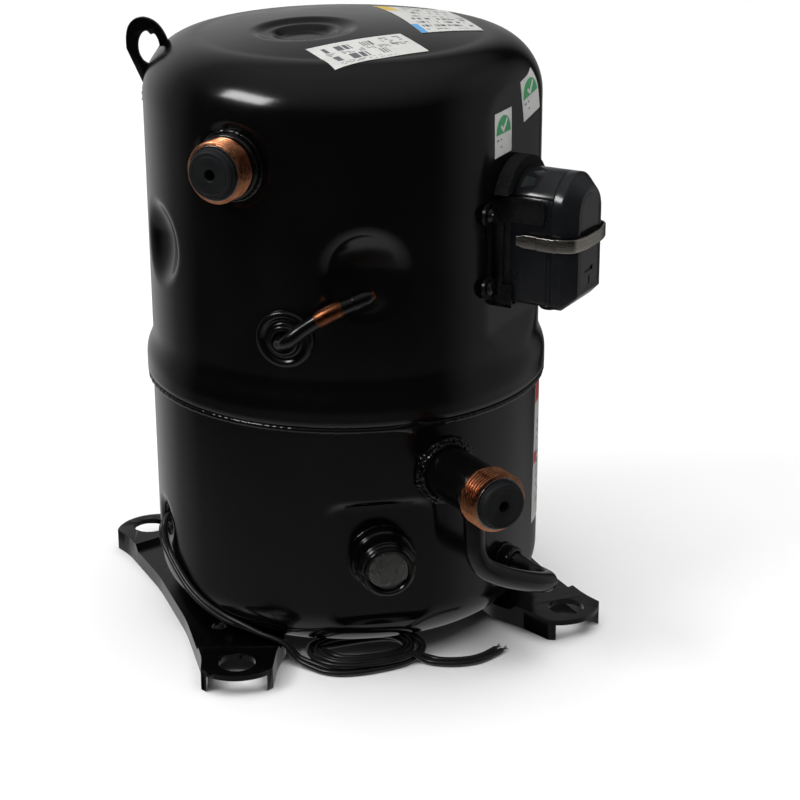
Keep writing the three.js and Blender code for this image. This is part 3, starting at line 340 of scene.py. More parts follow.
def label(name, bands, patches):
    """Coated paper printed with plain grey dashes and coloured patches, laid out on its UVs.

    A band is (left, right, low, high, columns, rows, share of the cells that are inked).
    A patch is (left, right, low, high, colour).
    """
    material, tree, shader = blank(name, coat=0.2)
    place = node(tree, "SeparateXYZ")
    tree.links.new(node(tree, "UVMap", uv_map="print").outputs[0], place.inputs[0])
    u, v = place.outputs[0], place.outputs[1]
    worn = remap(tree, grain(tree, 90, detail=5), 0, 1)
    colour = mixed(tree, worn, PAPER, tuple(c * 0.93 for c in PAPER))
    for left, right, low, high, columns, rows, share in bands:
        inked = maths(tree, "LESS_THAN", random_cells(tree, u, v, columns, rows), share)
        line = maths(tree, "FRACT", maths(tree, "MULTIPLY", v, float(rows)))
        if rows > 1:
            inked = maths(tree, "MULTIPLY", inked, between(tree, line, 0.2, 0.72))
        mask = maths(tree, "MULTIPLY", inked, patch_mask(tree, u, v, left, right, low, high))
        colour = mixed(tree, mask, colour, (0.1, 0.1, 0.11))
    for left, right, low, high, ink in patches:
        colour = mixed(tree, patch_mask(tree, u, v, left, right, low, high), colour, ink)
    tree.links.new(colour, shader.inputs["Base Color"])
    tree.links.new(remap(tree, grain(tree, 200), 0.3, 0.45), shader.inputs["Roughness"])
    bumped(tree, shader, [(grain(tree, 1500), 0.004)])
    return material


STEEL_DARK = ((0.25, 0.25, 0.26), (0.42, 0.42, 0.43))
FINISHES = {
    "black_paint": enamel(),
    "copper": turned_copper(),
    "plug_rubber": surface(
        "plug_rubber", (0.0035, 0.004, 0.0045), (0.008, 0.0085, 0.0095), (0.5, 0.65), 90,
        ((1400, 0.012), (260, 0.03)), specular=0.25,
    ),
    "lead_rubber": surface(
        "lead_rubber", (0.005, 0.005, 0.0055), (0.01, 0.01, 0.011), (0.3, 0.45), 60, ((900, 0.008),),
    ),
    "box_plastic": surface(
        "box_plastic", (0.005, 0.0053, 0.0064), (0.0085, 0.009, 0.0105), (0.12, 0.2), 30,
        ((700, 0.005), (70, 0.03)), coat=0.15,
    ),
    "foam": speckled("foam", (0.006, 0.006, 0.0064), (0.022, 0.022, 0.024), 1100, 0.6, 0.9, 0.25),
    "bracket_steel": surface(
        "bracket_steel", (0.003, 0.003, 0.0033), (0.007, 0.007, 0.0075), (0.2, 0.32), 80,
        ((500, 0.01),),
    ),
    "spring_steel": surface(
        "spring_steel", (0.42, 0.39, 0.35), (0.56, 0.53, 0.48), (0.22, 0.36), 70,
        ((300, 0.004),), stretch=(1, 1, 14), metallic=1.0,
    ),
    "sight_glass": clear_glass(),
    "ground_steel": surface(
        "ground_steel", *STEEL_DARK, (0.2, 0.34), 90, ((500, 0.004),), stretch=(1, 1, 6), metallic=1.0,
    ),
    "lamination": surface(
        "lamination", (0.2, 0.2, 0.21), (0.34, 0.34, 0.35), (0.38, 0.52), 50,
        ((60, 0.02), (900, 0.01)), stretch=(1, 1, 30), metallic=0.9,
    ),
    "winding": surface(
        "winding", (0.3, 0.1, 0.035), (0.5, 0.2, 0.08), (0.25, 0.4), 150,
        ((300, 0.25),), stretch=(1, 1, 3), metallic=0.7,
    ),
    "bronze": surface(
        "bronze", (0.4, 0.25, 0.1), (0.55, 0.38, 0.18), (0.25, 0.4), 90, ((500, 0.006),), metallic=1.0,
    ),
    "alloy": surface(
        "alloy", (0.55, 0.56, 0.57), (0.7, 0.71, 0.72), (0.3, 0.45), 90, ((400, 0.01),), metallic=1.0,
    ),
    "cast_iron": surface(
        "cast_iron", (0.1, 0.1, 0.105), (0.19, 0.19, 0.2), (0.45, 0.65), 120,
        ((700, 0.05), (200, 0.08)), metallic=0.7,
    ),
}
BODY_OF = {n: body for body, empty in frame["bodies"].items() for n in frame["nodes"]
           if frame["nodes"][n].parent is empty}
SLOT_OF = {part["node"]: part["material_slot"] for part in frame["record"]["subparts"]}


# ---------------------------------------------------------------- making pieces
def mesh_object(name, points, faces):
    mesh = bpy.data.meshes.new(name)
    placed = np.asarray(points, float) * MM + np.array(AXIS)
    mesh.from_pydata(placed.tolist(), [], faces)
    made = add_object(name, mesh)
    turned_out = bmesh.new()
    turned_out.from_mesh(mesh)
    bmesh.ops.recalc_face_normals(turned_out, faces=turned_out.faces)
    turned_out.to_mesh(mesh)
    turned_out.free()
    return made


def bake(piece):
    """Turns a piece's modifiers into its mesh."""
    graph = bpy.context.evaluated_depsgraph_get()
    mesh = bpy.data.meshes.new_from_object(piece.evaluated_get(graph))
    piece.modifiers.clear()
    piece.data = mesh


def carve(piece, tools, operation="DIFFERENCE"):
    """Cuts the tools out of a piece, or joins them to it, and deletes them."""
    for tool in tools:
        cut = piece.modifiers.new("cut", "BOOLEAN")
        cut.operation = operation
        cut.object = tool
        cut.solver = "EXACT"
    bake(piece)
    for tool in tools:
        bpy.data.objects.remove(tool)
    return piece


def soften(piece, width, steps=2, angle=32):
    """Rounds the edges of a piece."""
    bevel = piece.modifiers.new("edges", "BEVEL")
    bevel.width = width * MM
    bevel.segments = steps
    bevel.limit_method = "ANGLE"
    bevel.angle_limit = math.radians(angle)
    bake(piece)
    return piece


def dress(piece, slot, body="shell", stands_for=(), crease=35, finish=None):
    """Gives a piece its finish and its body, and hides the CAD nodes that it stands for."""
    if piece.type == "MESH":
        piece.data.shade_smooth()
        piece.data.set_sharp_from_angle(angle=math.radians(crease))
    piece.data.materials.clear()
    piece.data.materials.append(finish or FINISHES[slot])
    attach(piece, body)
    if stands_for:
        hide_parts(*stands_for)
    return piece


def stand_in(piece, *nodes, **more):
    """Dresses a piece as the CAD nodes that it replaces are dressed."""
    return dress(piece, SLOT_OF[nodes[0]], BODY_OF[nodes[0]], nodes, **more)


def skin(rows, ends="caps"):
    """Points and faces of a closed form through equal closed rows, capped at its ends or joined."""
    rows = np.asarray(rows, float)
    count, around = rows.shape[:2]
    points = list(rows.reshape(-1, 3))
    faces = []
    for i in range(count if ends == "joined" else count - 1):
        j = (i + 1) % count
        for k in range(around):
            m = (k + 1) % around
            faces.append((i * around + k, i * around + m, j * around + m, j * around + k))
    if ends == "caps":
        for i in (0, count - 1):
            points.append(rows[i].mean(0))
            for k in range(around):
                faces.append((i * around + k, i * around + (k + 1) % around, len(points) - 1))
    return points, faces


def rounded(line, radius, closed=False, steps=3):
    """A line with each corner replaced with a short arc."""
    points = [Vector(p) for p in line]
    made = []
    for i, here in enumerate(points):
        if not closed and i in (0, len(points) - 1):
            made.append(here)
            continue
        before, after = points[i - 1], points[(i + 1) % len(points)]
        reach = min(radius, 0.45 * (before - here).length, 0.45 * (after - here).length)
        start = here + (before - here).normalized() * reach
        end = here + (after - here).normalized() * reach
        for k in range(steps + 1):
            t = k / steps
            made.append(start * (1 - t) ** 2 + here * (2 * t * (1 - t)) + end * t * t)
    return made


def resampled(line, step):
    """Points along a line about one step apart, its ends kept."""
    line = np.asarray([tuple(p) for p in line], float)
    along = np.concatenate([[0], np.cumsum(np.linalg.norm(np.diff(line, axis=0), axis=1))])
    count = max(int(along[-1] / step), 2)
    wanted = np.linspace(0, along[-1], count + 1)
    return np.stack([np.interp(wanted, along, column) for column in line.T], 1)


def turned(name, profile, matrix, fillet=0.4, around=96):
    """A profile of [radius, height] points turned about local Z.

    It starts and ends on the axis, or closes on itself when its last point repeats its first.
    """
    closed = tuple(profile[0]) == tuple(profile[-1])
    line = rounded(profile[:-1] if closed else profile, fillet, closed)
    angles = np.linspace(0, 2 * math.pi, around, endpoint=False)
    rows = []
    for r, z in line if closed else line[1:-1]:
        rows.append(np.stack([r * np.cos(angles), r * np.sin(angles), np.full(around, z)], 1))
    points, faces = skin(rows, "joined" if closed else "caps")
    if not closed:
        points[-2] = np.array([0, 0, line[0][1]])
        points[-1] = np.array([0, 0, line[-1][1]])
    return mesh_object(name, moved(points, matrix), faces)


def slab(name, outline, z0, z1, matrix=Matrix.Identity(4)):
    count = len(outline)
    points = [(x, y, z) for z in (z0, z1) for x, y in outline]
    faces = [tuple(range(count)), tuple(range(2 * count - 1, count - 1, -1))]
    for i in range(count):
        j = (i + 1) % count
        faces.append((i, j, count + j, count + i))
    return mesh_object(name, moved(points, matrix), faces)


def block(name, xs, ys, zs, matrix=Matrix.Identity(4)):
    outline = [(xs[0], ys[0]), (xs[1], ys[0]), (xs[1], ys[1]), (xs[0], ys[1])]
    return slab(name, outline, zs[0], zs[1], matrix)


def rod(name, r, z0, z1, matrix=Matrix.Identity(4), around=64):
    angles = np.linspace(0, 2 * math.pi, around, endpoint=False)
    return slab(name, [(r * math.cos(a), r * math.sin(a)) for a in angles], z0, z1, matrix)


def hull(name, corners):
    form = bmesh.new()
    for corner in corners:
        form.verts.new(Vector(corner) * MM + AXIS)
    bmesh.ops.convex_hull(form, input=form.verts)
    mesh = bpy.data.meshes.new(name)
    form.to_mesh(mesh)
    form.free()
    return add_object(name, mesh)


def curve_through(points, per_span=12):
    """A smooth centripetal curve through the points."""
    p = [Vector(x) for x in points]
    p = [p[0] * 2 - p[1], *p, p[-1] * 2 - p[-2]]
    made = []
    for i in range(1, len(p) - 2):
        a, b, c, d = p[i - 1], p[i], p[i + 1], p[i + 2]
        t1 = (b - a).length ** 0.5
        t2 = t1 + (c - b).length ** 0.5
        t3 = t2 + (d - c).length ** 0.5
        for k in range(per_span):
            t = t1 + (t2 - t1) * k / per_span
            ab = a * ((t1 - t) / t1) + b * (t / t1)
            bc = b * ((t2 - t) / (t2 - t1)) + c * ((t - t1) / (t2 - t1))
            cd = c * ((t3 - t) / (t3 - t2)) + d * ((t - t2) / (t3 - t2))
            left = ab * ((t2 - t) / t2) + bc * (t / t2)
            right = bc * ((t3 - t) / (t3 - t1)) + cd * ((t - t1) / (t3 - t1))
            made.append(left * ((t2 - t) / (t2 - t1)) + right * ((t - t1) / (t2 - t1)))
    return [*made, p[-2]]


def swept(name, path, section, scale=lambda share: 1.0, closed=False):
    """A section of (across, up) points carried along a path without twisting."""
    path = [Vector(p) for p in path]
    count = len(path)
    rows = []
    side = None
    for i, here in enumerate(path):
        if closed:
            ahead = path[(i + 1) % count] - path[i - 1]
        else:
            ahead = path[min(i + 1, count - 1)] - path[max(i - 1, 0)]
        ahead.normalize()
        if side is None:
            side = ahead.cross(Vector((0, 0, 1))) if abs(ahead.z) < 0.9 else ahead.cross(Vector((1, 0, 0)))
        side = (side - ahead * side.dot(ahead)).normalized()
        up = side.cross(ahead)
        size = scale(i / (count - 1))
        rows.append([tuple(here + side * (x * size) + up * (y * size)) for x, y in section])
    points, faces = skin(rows, "joined" if closed else "caps")
    return mesh_object(name, points, faces)


def circle(r, count=20):
    angles = np.linspace(0, 2 * math.pi, count, endpoint=False)
    return [(r * math.cos(a), r * math.sin(a)) for a in angles]


def bead(name, path, r, seed, rough=0.35, around=14):
    """A weld bead: a closed rope of overlapping ripples along a path."""
    path = [Vector(p) for p in path]
    made = swept(name, path, circle(r, around), closed=True)
    for vertex in made.data.vertices:
        place = (vertex.co - AXIS) / MM
        coarse = noise.noise(place * 0.55 + Vector((seed, 0, 0)))
        fine = noise.noise(place * 1.9 + Vector((0, seed, 0)))
        nearest = path[(vertex.index // around) % len(path)]
        away = (place - nearest).normalized()
        vertex.co += away * (rough * (coarse + 0.5 * fine)) * MM
    return made


# ---------------------------------------------------------------- heater leads
# Both leads leave the heater, lie against the shell, cross the foot rail and reach the coil.
LEAD_A = [
    spot(-89, 104.2, 61), spot(-88, 107.5, 61), spot(-86.5, 110.4, 58), spot(-85, 111, 52),
    spot(-83, 110.6, 45.3), spot(-77.3, 110.1, 37.6), spot(-71, 109.6, 30.4), spot(-65, 108.1, 24.7),
    spot(-58, 105.6, 19.9), (-81.6, -66.6, 17.4), (-75.6, -73.4, 15.2), (-69.4, -79.2, 13.6),
    (-65, -82.8, 11.2), (-62.6, -85.6, 8.2), (-60.8, -88, 5.4), (-59.4, -89.6, 3.9),
]
LEAD_B = [
    spot(-91.4, 104.2, 56), spot(-91.2, 107.5, 56), spot(-90, 110.4, 53), spot(-88, 111, 47),
    spot(-84.6, 110.4, 41.8), spot(-78.3, 109.6, 34.3), spot(-71.8, 109, 27.1), spot(-65.8, 107.2, 21.4),
    spot(-59, 104.8, 16.7), (-80.6, -63.2, 14.6), (-74.2, -70, 12.8), (-67.6, -75.8, 11.4),
    (-62.9, -79.4, 9.4), (-60.4, -82.2, 7), (-59, -85, 5.2), (-58, -86.3, 4.2),
]
TAIL_A = [
    (5.6, -109.8, 2), (10, -113.8, 1.8), (16, -117.2, 1.8), (23, -119.4, 1.8),
    (31, -119.8, 1.8), (38.5, -118, 1.8), (44, -115.4, 1.8), (49, -113, 1.8),
]
TAIL_B = [
    (9.6, -107.4, 2), (13, -110.8, 1.8), (18.5, -113.6, 1.8), (24.5, -115.4, 1.8),
    (31, -115.9, 1.8), (37.5, -114.4, 1.8), (42.5, -112, 1.8), (46.5, -109.8, 1.8),
]
COIL_TURNS = 3.36
COIL_START = 190  # degrees round the coil's middle, from +X, where the leads join it
STEPS_A_TURN = 40
COIL_PITCH = 2 * LEAD_R + 0.15
UPPER_LAYER = dict(skew=-4, slack=1.4)
# Lane (inward from the outside, in lead widths) and layer of each turn, for the two leads.
LANES_A = [(0, 0), (2, 0), (2.1, 1), (0.1, 1), (0.1, 1)]
LANES_B = [(1, 0), (3, 0), (3.1, 1), (1.1, 1), (1.1, 1)]
COIL_SWAY = 0.5
STRANDS = 9


def coil_point(angle, inset, layer):
    """A point on the coil's racetrack, moved inwards by an inset; the upper layer lies askew."""
    a = math.radians(angle)
    straight = HANK["half_length"] - HANK["half_width"]
    slack = UPPER_LAYER["slack"] * layer * (1 + math.sin(2 * a + 0.9))
    r = HANK["half_width"] - LEAD_R - 0.4 - inset - slack
    sway = COIL_SWAY * math.sin(2 * a + inset) + COIL_SWAY * 0.6 * math.sin(3 * a + 2 * inset)
    x = (r + sway) * math.cos(a) + straight * math.tanh(2.2 * math.cos(a)) / math.tanh(2.2)
    y = (r + sway) * math.sin(a)
    skew = math.radians(UPPER_LAYER["skew"]) * layer
    middle = Vector((HANK["x"], HANK["y"]))
    across = Vector((x * math.cos(skew) - y * math.sin(skew), x * math.sin(skew) + y * math.cos(skew)))
    return (*(middle + across), LEAD_R + 0.3 + layer * COIL_PITCH)


def coil(lanes):
    """The turns of one lead, which change lane where each turn ends."""
    points = []
    total = round(COIL_TURNS * STEPS_A_TURN)
    for step in range(3, total):
        share = step / STEPS_A_TURN
        turn = int(share)
        shift = max(0.0, (share - turn) * 4 - 3)
        shift = shift * shift * (3 - 2 * shift)
        lane = lanes[turn][0] * (1 - shift) + lanes[turn + 1][0] * shift
        layer = lanes[turn][1] * (1 - shift) + lanes[turn + 1][1] * shift
        points.append(coil_point(COIL_START + 360 * share, lane * COIL_PITCH, layer))
    return points


def make_lead(name, start, lanes, tail):
    """A lead from the heater through the coil to its tail; gives the piece and its path in metres."""
    path = [p * MM + AXIS for p in curve_through([*start, *coil(lanes), *tail], 4)]
    data = bpy.data.curves.new(name, "CURVE")
    data.dimensions = "3D"
    data.bevel_depth = LEAD_R * MM
    data.bevel_resolution = 4
    data.use_fill_caps = True
    line = data.splines.new("POLY")
    line.points.add(len(path) - 1)
    for point, place in zip(line.points, path):
        point.co = (*place, 1)
    line.use_smooth = True
    letter = name[-1]
    nodes = ("heater_lead_" + letter, "heater_lead_hank", "heater_tail_" + letter)
    return stand_in(add_object(name, data), *nodes), path


def make_leads():
    made = []
    for name, start, lanes, tail in (
        ("lead_a", LEAD_A, LANES_A, TAIL_A),
        ("lead_b", LEAD_B, LANES_B, TAIL_B),
    ):
        piece, path = make_lead(name, start, lanes, tail)
        ahead = (path[-1] - path[-4]).normalized()
        made.append((piece, path, make_strands(name + "_strands", path[-1], ahead)))
    for piece, path, strands in made:
        print("cord", piece.name, round(sum((b - a).length for a, b in zip(path, path[1:])), 4))


def make_strands(name, end, ahead):
    """The bare, tinned strands at a lead's end, splayed a little."""
    form = bmesh.new()
    base = (end - AXIS) / MM
    side = ahead.cross(Vector((0, 0, 1))).normalized()
    for i in range(STRANDS):
        turn = 2 * math.pi * i / STRANDS
        off = side * (0.6 * math.cos(turn)) + Vector((0, 0, 0.6 * math.sin(turn)))
        splay = side * (0.9 * math.cos(turn * 1.7 + 1)) + Vector((0, 0, 0.45 * math.sin(turn)))
        reach = 4.2 + 1.3 * math.sin(3.1 * i)
        path = [base + off - ahead * 1.2, base + off + ahead * 1.6, base + off + splay + ahead * reach]
        wire = swept("wire", curve_through(path, 4), circle(0.19, 6))
        form.from_mesh(wire.data)
        bpy.data.objects.remove(wire)
    mesh = bpy.data.meshes.new(name)
    form.to_mesh(mesh)
    form.free()
    return dress(add_object(name, mesh), "ground_steel")


# ---------------------------------------------------------------- shell
SHELL_COLUMNS = 360
FAR = 1e3  # stands for a radius beyond every pressed surface
FINE_STEP = 1.7
COARSE_STEP = 6


def smooth_min(a, b, width):
    """The lesser of two values, blended where they lie closer than a width."""
    h = np.clip(0.5 + 0.5 * (b - a) / width, 0, 1)
    return b * (1 - h) + a * h - width * h * (1 - h)


def smooth_step(x):
    x = np.clip(x, 0, 1)
    return x * x * (3 - 2 * x)


def turned_back(degrees):
    """Degrees brought between -180 and 180."""
    return (degrees + 180) % 360 - 180


def dish_depth(x, y):
    """How far the crown is pressed in: a wide shallow dish with a deeper one inside it."""
    away = np.hypot(x - DISH["x"], y - DISH["y"])
    wide = DISH["depth"] * smooth_step((DISH["r"] - away) / DISH["slope"])
    return wide + DISH["inner_depth"] * smooth_step((DISH["inner_r"] - away) / DISH["inner_slope"])


def pressed_upper(angle, r, z):
    """The upper shell's surface after pressing, as points, from its turned form."""
    for middle in DIMPLE["angles"]:
        off = turned_back(angle - middle)
        away = np.hypot(np.radians(off) * UPPER["r"], z - DIMPLE["z"])
        ball = DIMPLE["ball_r"]
        deep = np.sqrt(np.clip(ball**2 - away**2, 0, None))
        limit = np.where(away < ball, UPPER["r"] - DIMPLE["depth"] + ball - deep, FAR)
        r = smooth_min(r, limit, DIMPLE["blend"])
    off = turned_back(angle - BOX_PANEL["angle"])
    run = np.clip((BOX_PANEL["bottom"] - z) / (BOX_PANEL["bottom"] - BOX_PANEL["run_out"]), 0, 1)
    flat = (BOX_PANEL["plane"] + BOX_PANEL["slope"] * run) / np.clip(np.cos(np.radians(off)), 0.2, None)
    near = (np.abs(off) < BOX_PANEL["half_angle"]) & (z > BOX_PANEL["run_out"] - 1)
    r = smooth_min(r, np.where(near, flat, FAR), BOX_PANEL["blend"])
    a = np.radians(angle)
    points = np.stack([r * np.sin(a), -r * np.cos(a), z + np.zeros_like(r)], -1)
    on_top = smooth_step((z - DISH["starts_at"]) / DISH["fades_over"])
    points[..., 2] -= dish_depth(points[..., 0], points[..., 1]) * on_top
    return seated(points)


def seated(points):
    """Presses the flat seat for the suction connection."""
    normal = np.array(outward(SUCTION["aim"]))
    offset = points - np.array(spot(SUCTION["angle"], UPPER["r"], SUCTION["z"]))
    height = offset @ normal - SUCTION["seat"]
    away = np.linalg.norm(offset - (offset @ normal)[..., None] * normal, axis=-1)
    near = smooth_step((SUCTION["seat_r"] - away) / SUCTION["seat_slope"]) * (np.abs(height) < 30)
    return points - normal * (height * near)[..., None]


def pressed_lower(angle, r, z):
    """The lower shell's surface, with the flat for the sight glass and the dent round the heater."""
    off = np.radians(turned_back(angle - GLASS_PANEL["angle"]))
    half, low, high = GLASS_PANEL["half"], GLASS_PANEL["bottom"], GLASS_PANEL["top"]
    corner = GLASS_PANEL["corner"]
    across = np.abs(LOWER["r"] * np.sin(off)) - half + corner
    up = np.abs(z - (low + high) / 2) - (high - low) / 2 + corner
    beyond = np.hypot(np.clip(across, 0, None), np.clip(up, 0, None))
    beyond = beyond + np.minimum(np.maximum(across, up), 0)
    inside = 1 - smooth_step((beyond - corner) / GLASS_PANEL["blend"] + 0.5)
    plane = GLASS_PANEL["plane"] / np.clip(np.cos(off), 0.3, None)
    pressed = inside * (np.abs(off) < 1) * np.clip(r - plane, 0, None)
    r = r - pressed
    away = np.hypot(np.radians(turned_back(angle - HEATER["angle"])) * LOWER["r"], z - HEATER["z"])
    ball = HEATER["dent_r"]
    dent = HEATER["dent_middle"] - np.sqrt(np.clip(ball**2 - away**2, 0, None))
    r = smooth_min(r, np.where(away < ball, dent, FAR), HEATER["dent_blend"])
    a = np.radians(angle)
    return np.stack([r * np.sin(a), -r * np.cos(a), z + np.zeros_like(r)], -1)


def uneven(points, seed, height=0.1):
    """The faint waviness of drawn sheet."""
    flat = points.reshape(-1, 3)
    wave = [noise.noise(Vector(p) * 0.021 + Vector((seed, 0, 0))) for p in flat]
    away = flat.copy()
    away[:, 2] = 0
    away /= np.maximum(np.linalg.norm(away, axis=1), 40)[:, None]
    return (flat + away * (np.array(wave) * height)[:, None]).reshape(points.shape)


def drawn_shell(name, outside, inside, pressed, seed):
    """A pressed cup: a fine outer skin and a coarse inner one a wall's thickness inside it."""
    angles = np.linspace(0, 360, SHELL_COLUMNS, endpoint=False)
    rows = []
    for line, wall in ((resampled(outside, FINE_STEP), 0), (resampled(inside, COARSE_STEP), WALL)):
        r, z = line[:, :1] + wall * (line[:, :1] > 60), line[:, 1:]
        grid_r = r + np.zeros(SHELL_COLUMNS)
        grid_z = z + np.zeros(SHELL_COLUMNS)
        a = np.radians(angles)
        plain = np.stack([grid_r * np.sin(a), -grid_r * np.cos(a), grid_z], -1)
        shift = pressed(angles[None, :], grid_r, grid_z) - plain
        base = np.stack([line[:, :1] * np.sin(a), -line[:, :1] * np.cos(a), grid_z], -1)
        rows.extend(base + shift)
    points, faces = skin(uneven(np.array(rows), seed))
    return mesh_object(name, points, faces)


def arc(centre_r, centre_z, radius, start, end, count=14):
    angles = [math.radians(start + (end - start) * i / count) for i in range(count + 1)]
    return [(centre_r + radius * math.cos(a), centre_z + radius * math.sin(a)) for a in angles]


CROWN_REACH = UPPER["r"] - UPPER["shoulder_r"]
CROWN_STEPS = 12


def crown_drop(r):
    """How far the crown's ball has fallen below the apex at a radius."""
    ball = (CROWN_REACH**2 + UPPER["crown"] ** 2) / (2 * UPPER["crown"])
    return ball - math.sqrt(ball**2 - r**2)


def crown(inset):
    points = []
    for i in range(CROWN_STEPS):
        r = max(CROWN_REACH * i / CROWN_STEPS, 0.3)
        points.append((r, UPPER["apex"] - inset - crown_drop(r)))
    return points + arc(CROWN_REACH, UPPER["shoulder_z"], UPPER["shoulder_r"] - inset, 90, 0)


def make_upper_shell():
    flare = [
        (UPPER["r"], UPPER["flare_top"]), (UPPER["skirt_r"], UPPER["flare_bottom"]),
        (UPPER["skirt_r"], UPPER["bottom"]), (LOWER["r"] + 0.4, UPPER["bottom"]),
    ]
    outside = crown(0)[:-1] + [tuple(p) for p in rounded([crown(0)[-1], *flare], 3)]
    skirt = [
        (LOWER["r"] + 0.4, UPPER["bottom"] + 2), (LOWER["r"] + 0.4, UPPER["flare_bottom"]),
        (UPPER["r"] - WALL, UPPER["flare_top"] + 2),
    ]
    inside = skirt + crown(WALL)[::-1]
    shell = drawn_shell("upper_shell_skin", outside, inside, pressed_upper, 3)
    openings = [
        rod("cut", THREAD["root"] + 0.3, -40, 20, SUCTION_FRAME),
        rod("cut", PROCESS["tube_r"] + 1, -10, 10, BOSS_FRAME),
        rod("cut", BOX["shell_hole_r"], -10, 10, BOX_MIDDLE),
    ]
    stand_in(carve(shell, openings), "upper_shell", crease=40)


def make_lower_shell():
    bend = LOWER["corner_r"]
    middle = (LOWER["r"] - bend, LOWER["bottom"] + bend)
    corner = arc(*middle, bend, -90, 0)
    inner = arc(*middle, bend - WALL, 0, -90)
    outside = [(0.3, LOWER["bottom"]), *corner, (LOWER["r"], LOWER["rim"])]
    inside = [(LOWER["r"] - WALL, LOWER["rim"]), *inner, (0.3, LOWER["bottom"] + WALL)]
    shell = drawn_shell("lower_shell_skin", outside, inside, pressed_lower, 8)
    openings = [
        rod("cut", DISCHARGE["hole_r"], -20, 20, DISCHARGE_FRAME),
        rod("cut", GLASS["hole_r"], -10, 10, GLASS_FRAME),
        rod("cut", HEATER["well_r"] + 0.3, 90, 120, HEATER_FRAME),
        rod("cut", OIL["tube_r"] + 0.8, -10, 10, on_shell(OIL["angle"], LOWER["r"], OIL["z"])),
    ]
    stand_in(carve(shell, openings), "lower_shell", crease=40)


SEAM = dict(steps=720, r=1.25, lump=1.6, lump_angle=-0.5, lump_width=3.2)


def make_seam():
    """The girth weld under the skirt, with the lump where it starts and stops."""
    rows = []
    top = UPPER["bottom"] - 0.15
    for i in range(SEAM["steps"]):
        angle = 360 * i / SEAM["steps"] - 180
        ripple = noise.noise(Vector((angle * 0.5, 0, 5)))
        lump = math.exp(-((angle - SEAM["lump_angle"]) / SEAM["lump_width"]) ** 2) * SEAM["lump"]
        swell = SEAM["r"] + 0.22 * ripple + 0.06 * math.sin(angle * 3.1) + lump * 0.45
        section = []
        for k in range(12):
            t = math.radians(360 * k / 12)
            r = LOWER["r"] + 1.35 + swell * math.cos(t) * 1.15
            z = top - 1.7 + (swell * 1.3 + lump * 0.8) * math.sin(t)
            p = spot(angle, min(r, UPPER["skirt_r"] + 0.4), z)
            section.append(tuple(p))
        rows.append(section)
    stand_in(mesh_object("girth_weld", *skin(rows, "joined")), "seam_weld")


# ---------------------------------------------------------------- feet
SPLAY = math.radians(FOOT["splay"])
ARM = Vector((math.sin(SPLAY), -math.cos(SPLAY)))
ACROSS = Vector((-ARM.y, ARM.x))


def on_arm(along, across):
    """A point in plan on the front right arm, from its hole."""
    p = Vector((FOOT["hole"], -FOOT["hole"])) + ARM * along + ACROSS * across
    return (p.x, p.y)


def nose_arc(count=28):
    """The pad's rounded end, from one side to the other."""
    rise = FOOT["nose"] - FOOT["shoulder"]
    radius = (FOOT["half"] ** 2 + rise**2) / (2 * rise)
    half = math.asin(FOOT["half"] / radius)
    angles = [half - 2 * half * i / count for i in range(1, count)]
    return [on_arm(FOOT["nose"] - radius + radius * math.cos(a), radius * math.sin(a)) for a in angles]


def rail_outline():
    """The right rail in plan, clockwise: its front half, then the same mirrored to the rear."""
    outer = [(106, -30), (110, -70), on_arm(-6, FOOT["half"]), on_arm(FOOT["shoulder"], FOOT["half"])]
    inner = [on_arm(FOOT["shoulder"], -FOOT["half"]), (70, -86), (61, -73), (59.5, -60)]
    bend = [tuple(p) for p in rounded([(106, 0), outer[0], outer[1], outer[2], outer[3]], 9, steps=5)]
    sweep = [tuple(p) for p in rounded([*inner, (59.5, 0)], 7, steps=5)]
    front = [*bend[1:], *nose_arc(), *sweep[:-1]]
    back = [(x, -y) for x, y in reversed(front)]
    return [*front, *back]


def shrunk(points, inset):
    """A clockwise outline moved inwards along its edges' normals."""
    made = []
    for i, p in enumerate(points):
        here = Vector(p)
        inward = (here - Vector(points[i - 1])).normalized()
        onward = (Vector(points[(i + 1) % len(points)]) - here).normalized()
        normal = Vector((inward.y + onward.y, -inward.x - onward.x)).normalized()
        reach = inset / max(normal.dot(Vector((inward.y, -inward.x))), 0.5)
        made.append(tuple(here + normal * reach))
    return made


def over_web(level):
    """The space over the web between the two folds, whose ends slope up to the pads."""
    corners = []
    for z in (level, level + 20):
        for across in (-60, 60):
            x, y = on_arm(FOOT["fold"] + (z - level) * 1.1, across)
            corners += [(x, y, z), (x, -y, z)]
    return hull("web", corners)


def make_rail(name, mirrored):
    """A pressed channel, open underneath and at its ends, whose arms step down to the web."""
    plan = rail_outline()
    under = FOOT["pad"] - FOOT["sheet"]
    rail = carve(slab(name, plan, 0, FOOT["pad"]), [over_web(FOOT["web"])])
    hollow = slab("hollow", shrunk(plan, FOOT["sheet"]), -1, under)
    half = FOOT["half"] - FOOT["sheet"]
    mouth = [on_arm(0, -half), on_arm(0, half), on_arm(25, half), on_arm(25, -half)]
    mouths = [slab("mouth", [(x, side * -y) for x, y in mouth], -1, under) for side in (-1, 1)]
    carve(hollow, mouths, "UNION")
    carve(hollow, [over_web(FOOT["web"] - FOOT["sheet"])])
    holes = []
    for side in (-1, 1):
        at = Matrix.Translation((FOOT["hole"], side * FOOT["hole"], 0))
        holes.append(rod("hole", FOOT["hole_r"], -1, 20, at))
        at = Matrix.Translation((FOOT["small_x"], side * FOOT["small_y"], 0))
        holes.append(rod("hole", FOOT["small_r"], -1, 20, at, 40))
    carve(rail, [hollow, *holes])
    soften(rail, 1.3, 4, 28)
    if mirrored:
        for vertex in rail.data.vertices:
            vertex.co.x = 2 * AXIS.x - vertex.co.x
        rail.data.flip_normals()
    stand_in(rail, name.replace("_pressing", ""), crease=40)


